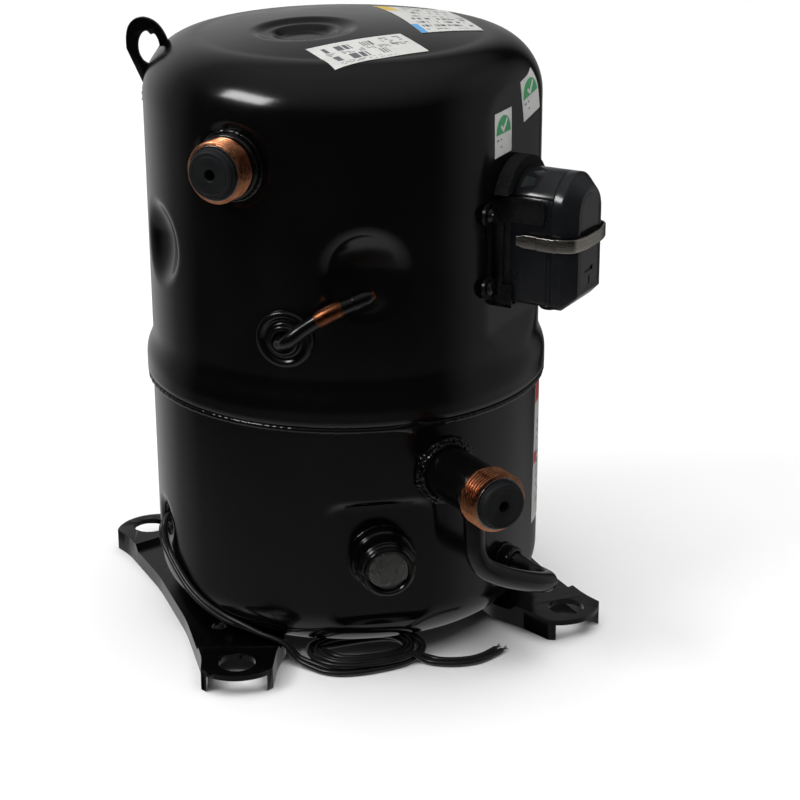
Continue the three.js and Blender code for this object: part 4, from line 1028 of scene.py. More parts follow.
# ---------------------------------------------------------------- lifting lug
def quadratic(a, b, c, count=10):
    a, b, c = Vector(a), Vector(b), Vector(c)
    steps = [i / count for i in range(1, count + 1)]
    return [tuple(a * (1 - t) ** 2 + b * (2 * t * (1 - t)) + c * t * t) for t in steps]


def make_lug():
    """A plate with an oval eye that is dented at its top, welded down the shell's shoulder."""
    eye, inner = LUG["eye"], LUG["eye"] - 13
    top, foot = LUG["eye_z"] + 16, LUG["eye_z"] - 25
    edge = [(inner, foot), (eye + 1, foot - 2), (eye + 12.5, LUG["eye_z"] - 1)]
    edge += quadratic(edge[-1], (eye + 14, top), (eye + 3, top))
    edge += quadratic(edge[-1], (eye - 6, top - 1), (eye - 10, LUG["eye_z"] + 3))
    edge.append((inner - 6, LUG["eye_z"] - 8))
    half = LUG["thickness"] / 2
    plate = slab("lug_plate", edge, -half, half, side_on(LUG["angle"]))
    opening = []
    wide, tall = LUG["eye_half"]
    for i in range(64):
        t = 2 * math.pi * i / 64
        dent = 1.9 * math.exp(-((t - math.pi / 2 - 0.25) / 0.22) ** 2)
        opening.append((eye + 0.5 + wide * math.cos(t), LUG["eye_z"] + (tall - dent) * math.sin(t)))
    carve(plate, [slab("eye", opening, -5, 5, side_on(LUG["angle"]))])
    stand_in(soften(plate, 0.5), "lifting_lug")
    run = [spot(LUG["angle"], *p) for p in ((97, 313), (101.5, 305), (105, 298), (106.8, 290), (107, 285))]
    weld = swept("lug_weld", resampled(curve_through(run, 6), 0.7), circle(2.6, 12))
    roughen(weld, 0.45, 21)
    dress(weld, "black_paint")


def roughen(piece, height, seed, scale=0.8):
    """Pushes a piece's surface in and out with noise."""
    normals = [v.normal.copy() for v in piece.data.vertices]
    for vertex, normal in zip(piece.data.vertices, normals):
        place = (vertex.co - AXIS) / MM * scale + Vector((seed, seed, 0))
        vertex.co += normal * (noise.noise(place) * height * MM)


def weld_ring(name, matrix, z, ring_r, count, size, seed, rough=0.3):
    """A painted weld bead round a pipe, at a height in the pipe's own frame."""
    loop = [matrix @ Vector((*p, z)) for p in circle(ring_r, count)]
    dress(bead(name, loop, size, seed, rough), "black_paint")


# ---------------------------------------------------------------- pipe connections
def threaded_ring(name, z0, z1, matrix):
    """A ring with a true helical thread on its outside."""
    around = 112
    turns = np.linspace(0, 1, around, endpoint=False)
    a = 2 * math.pi * turns
    heights = np.arange(z0 + 0.5, z1 - 0.3, THREAD["pitch"] / 9)
    bore, root, crest_r = THREAD["bore"] + 0.05, THREAD["root"], THREAD["r"]
    rows, crests = [], []

    def add(r, z, crest):
        r = np.zeros(around) + r
        rows.append(np.stack([r * np.cos(a), r * np.sin(a), np.zeros(around) + z], 1))
        crests.append(np.zeros(around) + crest)

    add(bore, z0, 0.6)
    add(root - 0.6, z0, 0.3)
    for z in heights:
        wave = 0.5 + 0.5 * np.cos(2 * math.pi * (z / THREAD["pitch"] - turns))
        fade = min(1, (z - z0) / 1.4, (z1 - z) / 1.0)
        tooth = smooth_step(wave * 1.25 - 0.1) * fade
        add(root + (crest_r - root) * tooth, z, 0.25 + 0.75 * tooth)
    add(root - 0.3, z1 - 0.15, 0.9)
    add(root - 0.8, z1, 1)
    add(bore + 0.4, z1, 1)
    add(bore, z1 - 0.4, 0.8)
    points, faces = skin(rows, "joined")
    ring = mesh_object(name, moved(points, matrix), faces)
    layer = ring.data.attributes.new("crest", "FLOAT", "POINT")
    layer.data.foreach_set("value", np.concatenate(crests).astype(np.float32))
    stand_in(ring, name.replace("_thread", "_connection"), crease=60)


def make_rim(name, ring, matrix):
    """The bright lip of the ring's end, which shows as a thin line behind the plug's brim."""
    bore = THREAD["bore"] + 0.2
    outer, low, high = bore + 1.6, ring - 1, ring + 0.24
    lip = [(bore, low), (outer, low), (outer, high), (bore, high), (bore, low)]
    dress(turned(name, lip, matrix, 0.15), "ground_steel")


def make_plug(name, ring, face, matrix):
    """A moulded cap: a stem in the bore, a brim on the ring's end and a head with a blind hole."""
    r, brim = THREAD["bore"] - 0.3, ring + 0.3
    profile = [
        (0, ring - 8), (r - 0.6, ring - 8), (r, ring - 7), (r, brim), (r + 1.1, brim),
        (r + 1.1, brim + 1.2), (r + 0.3, brim + 1.5), (r + 0.3, face - 0.7), (r - 0.5, face),
        (r - 1.9, face), (r - 2.1, face - 0.2), (r - 2.5, face - 0.2), (r - 2.7, face), (3.3, face),
        (2.8, face - 0.5), (2.7, face - 8), (0, face - 8),
    ]
    stand_in(turned(name + "_cap", profile, matrix, 0.35), name)


def make_suction():
    bore, r, collar = THREAD["bore"], THREAD["r"], SUCTION["collar"] - 0.3
    body = [
        (bore, -1.6), (r + 1.3, -1.6), (r + 1.3, collar - 1.2), (r + 0.4, collar), (bore, collar),
        (bore, -1.6),
    ]
    stand_in(turned("suction_stub", body, SUCTION_FRAME, 0.5), "suction_spigot")
    threaded_ring("suction_thread", SUCTION["collar"], SUCTION["ring"], SUCTION_FRAME)
    make_rim("suction_rim", SUCTION["ring"], SUCTION_FRAME)
    make_plug("suction_plug", SUCTION["ring"], SUCTION["face"], SUCTION_FRAME)
    weld_ring("suction_weld", SUCTION_FRAME, SUCTION["seat"] + 0.5, r + 1.6, 150, 1.3, 4)


def make_discharge():
    bore, tube = THREAD["bore"], DISCHARGE["tube"]
    stub = [(bore, -3.2), (14, -3.2), (14, tube - 3), (13.4, tube), (bore, tube), (bore, -3.2)]
    body = turned("discharge_pipe", stub, DISCHARGE_FRAME, 0.5)
    roughen(body, 0.25, 13, 0.5)
    stand_in(body, "discharge_stub")
    for name, r, lift, size, seed, rough in (
        ("discharge_weld_outer", 17, 1.3, 1.6, 31, 0.7),
        ("discharge_weld_inner", 15.2, 2.9, 1.5, 47, 0.6),
    ):
        loop = []
        for x, y in circle(r, 190):
            z = math.sqrt(LOWER["r"] ** 2 - x * x) - LOWER["r"]
            loop.append(DISCHARGE_FRAME @ Vector((x, y, z + lift)))
        dress(bead(name, loop, size, seed, rough), "black_paint")
    threaded_ring("discharge_thread", tube + 0.3, DISCHARGE["ring"], DISCHARGE_FRAME)
    make_rim("discharge_rim", DISCHARGE["ring"], DISCHARGE_FRAME)
    make_plug("discharge_plug", DISCHARGE["ring"], DISCHARGE["face"], DISCHARGE_FRAME)


# ---------------------------------------------------------------- process tube
def make_process_tube():
    bore = PROCESS["tube_r"] + 0.6
    boss = [
        (bore, -4), (12.5, -4), (15.2, -1.2), (15.6, 0.8), (14.6, 2.6), (12.4, 3.0), (10.6, 1.6),
        (8.8, 1.9), (7.6, 4.4), (5.8, 4.6), (bore, 3.4), (bore, -4),
    ]
    stand_in(turned("process_seat", boss, BOSS_FRAME, 0.8), "process_boss")
    r = PROCESS["tube_r"]
    start = spot(PROCESS["angle"], UPPER["r"] - 4, PROCESS["z"])
    elbow = spot(PROCESS["angle"], UPPER["r"] + 8, PROCESS["z"])
    bend = spot(PROCESS["angle"] + 2.5, UPPER["r"] + 12.5, PROCESS["z"] + 3)
    rise = spot(-29.3, UPPER["r"] + 12, 195.5)
    knee = spot(-22.3, UPPER["r"] + 11.5, 205)
    end = spot(-14.8, UPPER["r"] + 9, 211)
    line = curve_through([start, elbow, bend, rise, knee, end], 16)

    def pinch(share):
        return 1 - 0.12 * math.exp(-((share - 0.3) / 0.05) ** 2)

    def ease(share):
        return 1 - 0.05 * math.exp(-(min(share, 1 - share) / 0.06) ** 2)

    stand_in(swept("process_pipe", line, circle(r, 28), pinch), "process_tube")
    low, high = [round((len(line) - 1) * share) for share in PROCESS["sleeve"]]
    dress(swept("process_sleeve", line[low:high], circle(r + 0.55, 28), ease), "copper")
    axis = (end - knee).normalized()
    turn = axis.to_track_quat("Z", "Y").to_matrix().to_4x4()
    tip_frame = Matrix.Translation(end + axis * 0.3) @ turn
    tip = [(0, 0), (r, 0), (r, 2.6), (r * 0.72, 5.4), (r * 0.5, 7.4), (0, 8)]
    stand_in(turned("process_end", tip, tip_frame, 0.7, 32), "process_tube_tip")
    paint = [
        (r + 0.1, -4.6), (r + 0.3, -4.2), (r + 0.3, 2.4), (r * 0.82, 4.9), (r * 0.66, 6), (r * 0.6, 6),
        (r * 0.6, 3), (r * 0.9, -0.2), (r - 0.1, -4.6), (r + 0.1, -4.6),
    ]
    dress(turned("process_cap", paint, tip_frame, 0.3, 32), "black_paint")


# ---------------------------------------------------------------- sight glass
def make_sight_glass():
    reach = GLASS["reach"]
    body = [
        (9, -6), (11.7, -6), (11.7, 0.3), (17, 0.3), (17.4, 2.2), (16.9, 5.4), (15.9, 6.2), (15.4, 7.6),
        (15.4, reach - 5), (14.9, reach - 4.6), (14.9, reach - 3.2), (14.2, reach - 2.6),
        (13.4, reach - 0.4), (12.6, reach), (11.6, reach), (10.95, reach - 0.9), (10.95, reach - 4.5),
        (9, reach - 4.5), (9, -6),
    ]
    stand_in(turned("glass_mount", body, GLASS_FRAME, 0.35), "sight_glass_body")
    lens = [
        (0, reach - 4.2), (10.6, reach - 4.2), (10.6, reach - 1.8), (9.6, reach - 1.2), (7, reach - 0.85),
        (4, reach - 0.72), (0, reach - 0.7),
    ]
    stand_in(turned("glass_lens", lens, GLASS_FRAME, 0.3), "sight_glass_lens", crease=50)
    cup = [(0, 2), (6.5, 2), (8.2, reach - 8), (8.7, reach - 5), (8.9, reach - 5), (8.9, 0.5), (0, 0.5)]
    dress(turned("glass_cup", cup, GLASS_FRAME, 0.3), "bracket_steel")
    weld_ring("glass_weld", GLASS_FRAME, 0.35, 17.6, 150, 0.9, 17)


# ---------------------------------------------------------------- crankcase heater
def make_heater():
    well_r, tip, mouth = HEATER["well_r"], HEATER["tip"], HEATER["mouth"]
    well = [(0, tip), (well_r, tip), (well_r, mouth), (8, mouth), (8, tip + 2), (0, tip + 2)]
    stand_in(turned("heater_pocket", well, HEATER_FRAME, 0.4), "heater_well")
    core = [(0, tip + 2.3), (7.6, tip + 2.3), (7.6, mouth - 1), (0, mouth - 1)]
    stand_in(turned("heater_core", core, HEATER_FRAME, 0.8), "heater_cartridge")
    weld_ring("heater_weld", HEATER_FRAME, mouth - 0.6, well_r + 0.4, 110, 1.2, 23)


# ---------------------------------------------------------------- terminal box
def arch(margin, bottom=None, corner=3.0, count=40):
    """The box's outline: flat at the bottom and arched at the top, moved outwards by a margin."""
    half = BOX["half"] + margin
    low = BOX["bottom"] - margin if bottom is None else bottom
    spring = BOX["top"] - BOX["half"]
    curve = [math.pi * i / count for i in range(count + 1)]
    points = [(half * math.cos(a), spring + half * math.sin(a)) for a in curve]
    feet = rounded([points[-1], (-half, low), (half, low), points[0]], max(corner + margin, 0.6), steps=5)
    return [*points, *[tuple(p) for p in feet[1:-1]]]


def arched(name, profile, fillet=0.6, closed=True):
    """A profile of (margin, depth) points carried round the arch."""
    line = rounded(profile, fillet, closed)
    rows = [moved([(x, y, z) for x, y in arch(margin)], BOX_FRAME) for margin, z in line]
    points, faces = skin(rows, "joined" if closed else "caps")
    return mesh_object(name, points, faces)


def make_gasket():
    above = (SCREW["high"] + 9, BOX["top"] + 10)
    crest = block("crest", (-40, 40), above, (0, BOX["gasket"] + 1), BOX_FRAME)
    collar = slab("collar", arch(6), 0.3, BOX["gasket"], BOX_FRAME)
    carve(collar, [crest], "INTERSECT")
    foam = slab("foam_seal", arch(-0.6), 0.3, BOX["gasket"], BOX_FRAME)
    carve(foam, [collar], "UNION")
    carve(foam, [slab("hole", arch(-4), -1, BOX["gasket"] + 1, BOX_FRAME)])
    stand_in(soften(foam, 0.8), "terminal_gasket")


def make_ribs(name, margin, top, depths, wide, edge, body):
    """Fine upright ribs on both sides of the box, at a margin from its half width."""
    for side, word in ((-1, "left"), (1, "right")):
        for i, depth in enumerate(depths):
            x = side * (BOX["half"] + margin)
            across, up = sorted((x, x + side * 0.35)), (BOX["bottom"] + 3, top)
            rib = block(f"{name}_{word}_{i + 1}", across, up, (depth, depth + wide), BOX_FRAME)
            dress(soften(rib, edge), "box_plastic", body)


def make_box():
    rear, seam, front, wall = BOX["gasket"] + 0.3, BOX["seam"], BOX["front"], BOX["wall"]
    tray = arched(
        "box_tray",
        [
            (-6, rear), (0, rear), (0, seam - 2.4), (-0.5, seam - 2.2), (-0.5, seam), (-wall, seam),
            (-wall, rear + wall), (-6, rear + wall),
        ],
    )
    back = slab("back", arch(-5.8), rear, rear + wall, BOX_FRAME)
    carve(tray, [back], "UNION")
    cable = Matrix.Translation((0, BOX["bottom"], BOX["cable_depth"]))
    down = BOX_FRAME @ cable @ Matrix.Rotation(math.pi / 2, 4, "X")
    opening = rod("hole", BOX["opening_r"], rear - 1, rear + wall + 1, BOX_MIDDLE)
    carve(tray, [opening, rod("hole", BOX["cable_r"], -10, 10, down)])
    stand_in(tray, "terminal_box_base")
    make_ribs("box_rib", -0.1, BOX["top"] - 26, (14.5, 17.5), 1, 0.25, "shell")
    grommet = [
        (3, -3), (6, -3), (6, 0.3), (8, 0.3), (8, 1.5), (7.2, 1.9), (8, 2.3), (8, 3.2), (6.2, 3.7),
        (6.6, 4.4), (5.4, 4.9), (5.6, 5.6), (4.6, 6.4), (3, 6.4), (3, -3),
    ]
    stand_in(turned("cable_bush", grommet, down, 0.25, 48), "cable_grommet")
    make_cover(rear, seam, front, wall)


def make_cover(rear, seam, front, wall):
    """The moulded cover: a chamfered arch with a raised inner arch on its face."""
    cover = arched(
        "box_cover",
        [
            (-9.6, front - 0.35), (-8.2, front - 0.35), (-7.8, front), (-6.2, front), (0.1, front - 6.4),
            (0.8, front - 7.2), (0.8, seam + 0.3), (0.8 - wall, seam + 0.3), (0.6 - wall, front - 7.4),
            (-7.2, front - wall), (-9.6, front - wall),
        ],
    )
    face = slab("face", arch(-9.5), front - wall, front - 0.35, BOX_FRAME)
    carve(cover, [face], "UNION")
    slot = block("slot", (-5, 5), (BOX["z"] - 13, BOX["z"] - 10.6), (front - 1.1, front + 1), BOX_FRAME)
    mark = block("mark", (-1.6, 1.6), (BOX["z"] - 20, BOX["z"] - 15.6), (front - 0.7, front + 1), BOX_FRAME)
    carve(cover, [slot, mark])
    stand_in(cover, "terminal_box_cover")
    band = [(0.2, rear + 1), (0.8, rear + 1), (0.8, seam + 0.3), (0.2, seam + 0.3)]
    hood = arched("cover_hood", band, 0.15)
    above = block("above", (-40, 40), (BOX["top"] - 10.5, BOX["top"] + 10), (0, seam + 1), BOX_FRAME)
    dress(soften(carve(hood, [above], "INTERSECT"), 0.2), "box_plastic", "cover")
    make_ribs("cover_rib", 0.7, BOX["z"] - 6, (33.2, 35), 0.7, 0.2, "cover")


def make_bracket():
    """A pressed steel saddle: an ear at each corner, a wing on each side and a lip underneath."""
    inside = BOX["half"] + 0.4
    outside = inside + 1.5
    sheet, lip_depth, under = (0.3, 1.8), (0.3, 10), BOX["bottom"] - 2.4
    ear_r = 6
    parts = []
    for side in (-1, 1):
        wing = sorted((side * inside, side * outside))
        ear = sorted((side * SCREW["x"], side * inside))
        high, low = SCREW["high"], SCREW["low"]
        shape = [
            (0.3, high - 5), (0.3, high + 5), (4, high + 8), (BOX["seam"] - 5, high + 8),
            (BOX["seam"] - 3, high + 6), (BOX["seam"] - 3, high - 3), (BOX["seam"] - 5, high - 5),
        ]
        stand = BOX_FRAME @ Matrix(((0, 0, 1, 0), (0, 1, 0, 0), (1, 0, 0, 0), (0, 0, 0, 1)))
        parts.append(slab("wing", shape, *wing, stand))
        parts.append(block("spine", wing, (low - 7, high - 4), (0.3, 5), BOX_FRAME))
        parts.append(block("drop", wing, (under, low), lip_depth, BOX_FRAME))
        for z in (high, low):
            parts.append(block("ear", ear, (z - ear_r, z + ear_r), sheet, BOX_FRAME))
            at = BOX_FRAME @ Matrix.Translation((side * SCREW["x"], z, 0))
            parts.append(rod("ear_end", ear_r - 0.01, *sheet, at, 40))
    lip = (under, BOX["bottom"] - 0.9)
    bridge = block("bracket_pressing", (-outside, outside), lip, lip_depth, BOX_FRAME)
    carve(bridge, parts, "UNION")
    holes = [rod("hole", 2.4, -1, 5, place, 24) for place in screw_places()]
    carve(bridge, holes)
    stand_in(soften(bridge, 0.35), "terminal_bracket")


def screw_places():
    """The four screws' frames: the left pair first, each from the top down."""
    spots = [(side * SCREW["x"], z, 0) for side in (-1, 1) for z in (SCREW["high"], SCREW["low"])]
    return [BOX_FRAME @ Matrix.Translation(place) for place in spots]


def make_screws():
    for i, place in enumerate(screw_places()):
        r = SCREW["head_r"]
        profile = [
            (0, 0.3), (1.9, 0.3), (1.9, 2.1), (r, 2.1), (r, 2.7), (r * 0.8, 3.9), (r * 0.4, 4.45), (0, 4.5),
        ]
        screw = turned(f"screw_{i + 1}", profile, place, 0.25, 40)
        place = place @ Matrix.Rotation(math.radians(17 + 31 * i), 4, "Z")
        long, thin = (-1.9, 1.9), (-0.4, 0.4)
        cross = [block("cut", xs, ys, (3.3, 6), place) for xs, ys in ((long, thin), (thin, long))]
        stand_in(carve(screw, cross), f"bracket_screw_{i + 1}")


def make_clip():
    """A flat spring strap over the cover, hooked on both sides of the base."""
    half, front, top = BOX["half"] + 3.6, BOX["front"], BOX["front"] + 3
    right = [
        (10, top), (half - 3.4, front + 0.4), (half, front - 6), (half - 0.2, 24), (half, CLIP["hook_out"]),
    ]
    path = [(-x, z) for x, z in reversed(right)] + right
    line = resampled(rounded(path, 7, steps=8), 0.8)
    normals = np.gradient(line, axis=0)
    normals = np.stack([-normals[:, 1], normals[:, 0]], 1)
    normals /= np.linalg.norm(normals, axis=1)[:, None]
    rows = []
    wide, thin = CLIP["width"] / 2, CLIP["sheet"] / 2
    for i, ((x, z), (nx, nz)) in enumerate(zip(line, normals)):
        edge = min(i, len(line) - 1 - i) / 6
        w = wide * (0.72 + 0.28 * smooth_step(edge))
        section = rounded([(-w, -thin), (w, -thin), (w, thin), (-w, thin)], 0.4, True, 3)
        x, z = x - nx * thin * np.sign(nz), z - abs(nz) * thin
        rows.append([(x + nx * t, CLIP["z"] + s, z + nz * t) for s, t in section])
    points, faces = skin(rows)
    strap = mesh_object("spring_strap", moved(points, BOX_FRAME), faces)
    stand_in(strap, "cover_clip")


# ---------------------------------------------------------------- oil return tube
def make_oil_tube():
    """The tube drops from the discharge stub, runs round the shell and turns back into it."""
    r, first, last = OIL["tube_r"], DISCHARGE["angle"], OIL["angle"]
    route = [
        spot(first, 136, DISCHARGE["z"] - 15.2), spot(first, 136.2, 84), spot(10.3, 136.4, 74),
        spot(12, 136.8, 65), spot(17, 137.4, 56.5), spot(23, 137.8, 49.3), spot(29, 138, 43.2),
        spot(33.5, 136, 39.2), spot(35.6, 130, 37.6), spot(35.2, 122, 39.6),
        spot(last + 0.4, 114.5, 45), spot(last, 106, OIL["z"]),
    ]
    pipe = swept("oil_pipe", curve_through(route, 10), circle(r, 32))
    stand_in(pipe, "oil_return_tube")
    at = on_shell(last, LOWER["r"], OIL["z"])
    nut = [(r, 0.4), (r + 2.3, 0.4), (r + 2.3, 6.6), (r + 1.8, 8), (r, 8), (r, 0.4)]
    dress(turned("oil_sleeve", nut, at, 0.5), "black_paint")
    weld_ring("oil_weld", at, 0.7, r + 2.5, 90, 1.0, 41, 0.35)
    top = on_shell(first, 136, DISCHARGE["z"] - 14.6) @ Matrix.Rotation(math.pi / 2, 4, "X")
    weld_ring("oil_top_weld", top, 0.3, r, 60, 0.9, 43)


# ---------------------------------------------------------------- labels
def crown_height(x, y):
    """The upper shell's height over a point in plan."""
    r = math.hypot(x, y)
    if r < CROWN_REACH:
        z = UPPER["apex"] - crown_drop(r)
    else:
        z = UPPER["shoulder_z"] + math.sqrt(max(UPPER["shoulder_r"] ** 2 - (r - CROWN_REACH) ** 2, 0))
    return z - float(dish_depth(np.array(x), np.array(y)))


def sticker(name, place, finish, columns=40, rows=30):
    """A thin sheet over the shell: place(u, v) gives a point and the way out of the surface."""
    points, prints = [], []
    for lift in (0.1, 0.3):
        for j in range(rows + 1):
            for i in range(columns + 1):
                u, v = i / columns, j / rows
                point, out = place(u, v)
                points.append(point + out * lift)
                prints.append((u, v))
    wide, layer = columns + 1, (columns + 1) * (rows + 1)
    faces = []
    for j in range(rows):
        for i in range(columns):
            a = j * wide + i
            faces.append((a, a + 1, a + 1 + wide, a + wide))
            faces.append(tuple(layer + k for k in (a, a + wide, a + 1 + wide, a + 1)))
    border = [*range(wide)] + [j * wide + columns for j in range(1, rows + 1)]
    border += [rows * wide + i for i in range(columns - 1, -1, -1)]
    border += [j * wide for j in range(rows - 1, 0, -1)]
    for a, b in zip(border, border[1:] + border[:1]):
        faces.append((a, b, layer + b, layer + a))
    made = mesh_object(name, points, faces)
    layer_uv = made.data.uv_layers.new(name="print")
    for loop in made.data.loops:
        layer_uv.data[loop.index].uv = prints[loop.vertex_index]
    return dress(made, "box_plastic", finish=finish)


def top_place(corners):
    """A four-cornered patch in plan laid on the crown; v runs from the first two corners up."""
    low_left, low_right, high_right, high_left = [Vector(c) for c in corners]

    def place(u, v):
        p = low_left.lerp(low_right, u).lerp(high_left.lerp(high_right, u), v)
        z = crown_height(p.x, p.y)
        dx = (crown_height(p.x + 0.5, p.y) - z) / 0.5
        dy = (crown_height(p.x, p.y + 0.5) - z) / 0.5
        return Vector((p.x, p.y, z)), Vector((-dx, -dy, 1)).normalized()

    return place


def side_place(angle, z, width, height, tilt, pressed, r):
    """A patch on the shell's side, centred at an angle and a height, tilted in its plane."""
    t = math.radians(tilt)

    def point(x, y):
        a = angle + math.degrees((x * math.cos(t) - y * math.sin(t)) / r)
        s = x * math.sin(t) + y * math.cos(t)
        height_at, radius = z + s, r
        if pressed is pressed_upper and z + s > UPPER["shoulder_z"]:
            bend = (z + s - UPPER["shoulder_z"]) / UPPER["shoulder_r"]
            height_at = UPPER["shoulder_z"] + UPPER["shoulder_r"] * math.sin(bend)
            radius = r - UPPER["shoulder_r"] * (1 - math.cos(bend))
        made = pressed(np.array([[a]]), np.array([[float(radius)]]), np.array([[float(height_at)]]))
        return Vector(made[0, 0])

    def place(u, v):
        x, y = (u - 0.5) * width, (v - 0.5) * height
        p = point(x, y)
        out = (point(x + 0.5, y) - p).cross(point(x, y + 0.5) - p).normalized()
        return p, out

    return place


# The corners of the two labels on the crown, in plan, and the places of those on the sides.
LEFT_LABEL = [(-31.7, -82.8), (22.6, -70.2), (18.1, -39.9), (-36.7, -51)]
RIGHT_LABEL = [(30.5, -39.2), (69.4, -28.7), (72.4, 36), (34.3, 48)]
STICKER_SIZE = (19.4, 23)
STICKERS = [dict(angle=33.4, z=283.1, tilt=1.5), dict(angle=50.5, z=297, tilt=13)]
SIDE_LABEL = dict(angle=86, z=89, width=120, height=83, tilt=-4)
GREEN = (0.03, 0.26, 0.09)
RED = (0.45, 0.03, 0.03)
YELLOW = (0.6, 0.4, 0.04)
BLUE = (0.08, 0.3, 0.6)


def make_labels():
    white = label(
        "label_plain",
        [
            (0.1, 0.62, 0.62, 0.84, 70, 1, 0.5), (0.1, 0.66, 0.2, 0.42, 60, 1, 0.5),
            (0.08, 0.9, 0.45, 0.58, 34, 20, 0.5), (0.06, 0.7, 0.06, 0.16, 40, 22, 0.45),
            (0.72, 0.94, 0.3, 0.9, 30, 12, 0.35),
        ],
        [],
    )
    sticker("top_label_left", top_place(LEFT_LABEL), white)
    wide = label(
        "label_tinted",
        [
            (0.14, 0.8, 0.06, 0.5, 54, 9, 0.5), (0.3, 0.9, 0.55, 0.92, 44, 7, 0.45),
            (0.86, 0.98, 0.1, 0.5, 16, 9, 0.5),
        ],
        [(0.0, 0.2, 0.72, 1.0, YELLOW), (0.0, 0.1, 0.0, 0.22, BLUE)],
    )
    sticker("top_label_right", top_place(RIGHT_LABEL), wide)
    pass_label = label("label_check", [(0.12, 0.42, 0.14, 0.4, 12, 12, 0.4)], [])
    width, height = STICKER_SIZE
    for i, spot_on_side in enumerate(STICKERS):
        place = side_place(**spot_on_side, width=width, height=height, pressed=pressed_upper, r=UPPER["r"])
        sticker(f"check_sticker_{i + 1}", place, pass_label, 20, 24)
        make_tick(f"check_{i + 1}", place)
    lower = label(
        "label_banded",
        [(0.06, 0.94, 0.1, 0.72, 60, 18, 0.5)],
        [(0, 1, 0.85, 1, RED), (0, 0.07, 0.42, 0.5, RED)],
    )
    place = side_place(**SIDE_LABEL, pressed=pressed_lower, r=LOWER["r"])
    sticker("side_label", place, lower, 60, 40)


def make_tick(name, place):
    """A green half disc with a white tick on it, laid on a sticker."""
    green, tree, shader = blank(name + "_green", coat=0.2)
    shade = remap(tree, grain(tree, 150), 0, 1)
    tree.links.new(mixed(tree, shade, GREEN, tuple(c * 1.2 for c in GREEN)), shader.inputs["Base Color"])
    tree.links.new(remap(tree, grain(tree, 200), 0.3, 0.45), shader.inputs["Roughness"])

    def half_disc(u, v):
        a = math.pi * u
        point, out = place(0.5 + 0.42 * math.cos(a) * v, 0.5 + 0.4 * math.sin(a) * v)
        return point + out * 0.22, out

    sticker(name + "_disc", half_disc, green, 28, 8)
    white, tree, shader = blank(name + "_white", coat=0.2)
    shade = remap(tree, grain(tree, 150), 0, 1)
    tree.links.new(mixed(tree, shade, PAPER, (0.5, 0.5, 0.49)), shader.inputs["Base Color"])
    line = resampled(rounded([(0.34, 0.68), (0.46, 0.56), (0.68, 0.8)], 0.01, steps=2), 0.02)
    across = np.gradient(line, axis=0)
    across = np.stack([-across[:, 1], across[:, 0]], 1)
    across /= np.linalg.norm(across, axis=1)[:, None]

    def stroke(u, v):
        at = u * (len(line) - 1)
        i = min(int(at), len(line) - 2)
        t = at - i
        p = line[i] * (1 - t) + line[i + 1] * t + across[i] * (v - 0.5) * 0.075
        point, out = place(float(p[0]), float(p[1]))
        return point + out * 0.44, out

    sticker(name + "_tick", stroke, white, 24, 3)


# ---------------------------------------------------------------- what keeps its CAD form
def finish_cad_nodes():
    """Gives each visible node that no finer piece replaces the finish of its slot."""
    for name, piece in frame["nodes"].items():
        if piece.hide_render:
            continue
        piece.data.materials.clear()
        piece.data.materials.append(FINISHES[SLOT_OF[name]])


# ---------------------------------------------------------------- floor and light
def make_floor():
    bpy.ops.mesh.primitive_plane_add(size=60, location=(0, 0, -0.0002))
    floor = bpy.context.object
    floor.name = "floor"
    material, tree, shader = blank("floor")
    shade = remap(tree, grain(tree, 3), 0, 1)
    tree.links.new(mixed(tree, shade, (0.83, 0.83, 0.83), (0.85, 0.85, 0.85)), shader.inputs["Base Color"])
    shader.inputs["Roughness"].default_value = 0.6
    floor.data.materials.append(material)
    floor.visible_glossy = False


def area_light(name, place, target, size, power):
    data = bpy.data.lights.new(name, "AREA")
    data.shape = "RECTANGLE"
    data.size, data.size_y = size
    data.energy = power
    light = add_object(name, data)
    light.location = place
    light.rotation_euler = (Vector(target) - Vector(place)).to_track_quat("-Z", "Y").to_euler()
    light.visible_camera = False


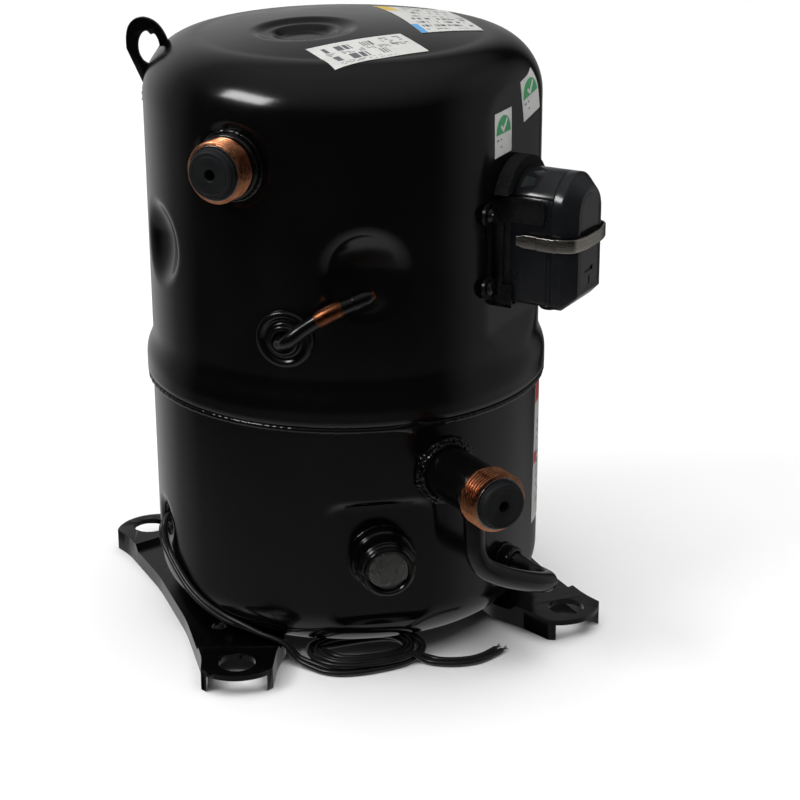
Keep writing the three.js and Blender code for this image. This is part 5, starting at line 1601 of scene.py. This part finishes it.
# The studio's white panels: the way each one lies, where its edge starts and ends, its brightness.
PANELS = [
    ((0, 0, 1), 0.45, 0.95, 0.3),
    ((0, 1, 0), 0.7, 0.93, 0.33),
    ((-0.42, 0.91, 0), 0.73, 0.92, 0.17),
    ((0.99, -0.1, 0), 0.66, 0.88, 0.2),
    ((0, 0, -1), 0.33, 0.42, 0.17),
    ((0, 0, -1), 0.5, 0.9, 0.32),
]
DARK_ROOM = 0.01
PALE_BACKDROP = (0.9, 0.9, 0.9)
OVERHEAD = dict(power=3.3, spread=80)
KEY = dict(around=-84, height=40, away=2, aim_z=0.2, size=(0.9, 0.4), power=16)


def make_studio():
    """A dark room with soft white panels above, behind, at the sides and on the floor."""
    world = bpy.data.worlds.new("studio")
    bpy.context.scene.world = world
    world.use_nodes = True
    tree = world.node_tree
    way = node(tree, "TexCoord").outputs["Generated"]
    total = None
    for axis, start, end, brightness in PANELS:
        toward = node(tree, "VectorMath", operation="DOT_PRODUCT")
        tree.links.new(way, toward.inputs[0])
        toward.inputs[1].default_value = axis
        part = remap(tree, toward.outputs["Value"], 0, brightness, start, end)
        total = maths(tree, "ADD", part, DARK_ROOM if total is None else total)
    grey = node(tree, "CombineXYZ")
    for key in "XYZ":
        tree.links.new(total, grey.inputs[key])
    seen = node(tree, "LightPath").outputs["Is Camera Ray"]
    background = tree.nodes["Background"]
    background.inputs["Strength"].default_value = 1
    tree.links.new(mixed(tree, seen, grey.outputs[0], PALE_BACKDROP), background.inputs["Color"])


def make_light():
    """The studio, a broad overhead light and a soft key light at the left."""
    bpy.context.scene.view_settings.view_transform = "Standard"
    make_studio()
    data = bpy.data.lights.new("overhead", "SUN")
    data.energy = OVERHEAD["power"]
    data.angle = math.radians(OVERHEAD["spread"])
    overhead = add_object("overhead", data)
    overhead.visible_glossy = False
    middle = Vector((0, 0, KEY["aim_z"]))
    side, height = math.radians(KEY["around"]), math.radians(KEY["height"])
    away = Vector((math.sin(side) * math.cos(height), -math.cos(side) * math.cos(height), math.sin(height)))
    area_light("key", middle + away * KEY["away"], middle, KEY["size"], KEY["power"])


make_camera()
make_leads()
make_upper_shell()
make_lower_shell()
make_seam()
make_rail("foot_rail_right_pressing", False)
make_rail("foot_rail_left_pressing", True)
make_lug()
make_suction()
make_discharge()
make_process_tube()
make_sight_glass()
make_heater()
make_gasket()
make_box()
make_bracket()
make_screws()
make_clip()
make_oil_tube()
make_labels()
finish_cad_nodes()
make_floor()
make_light()
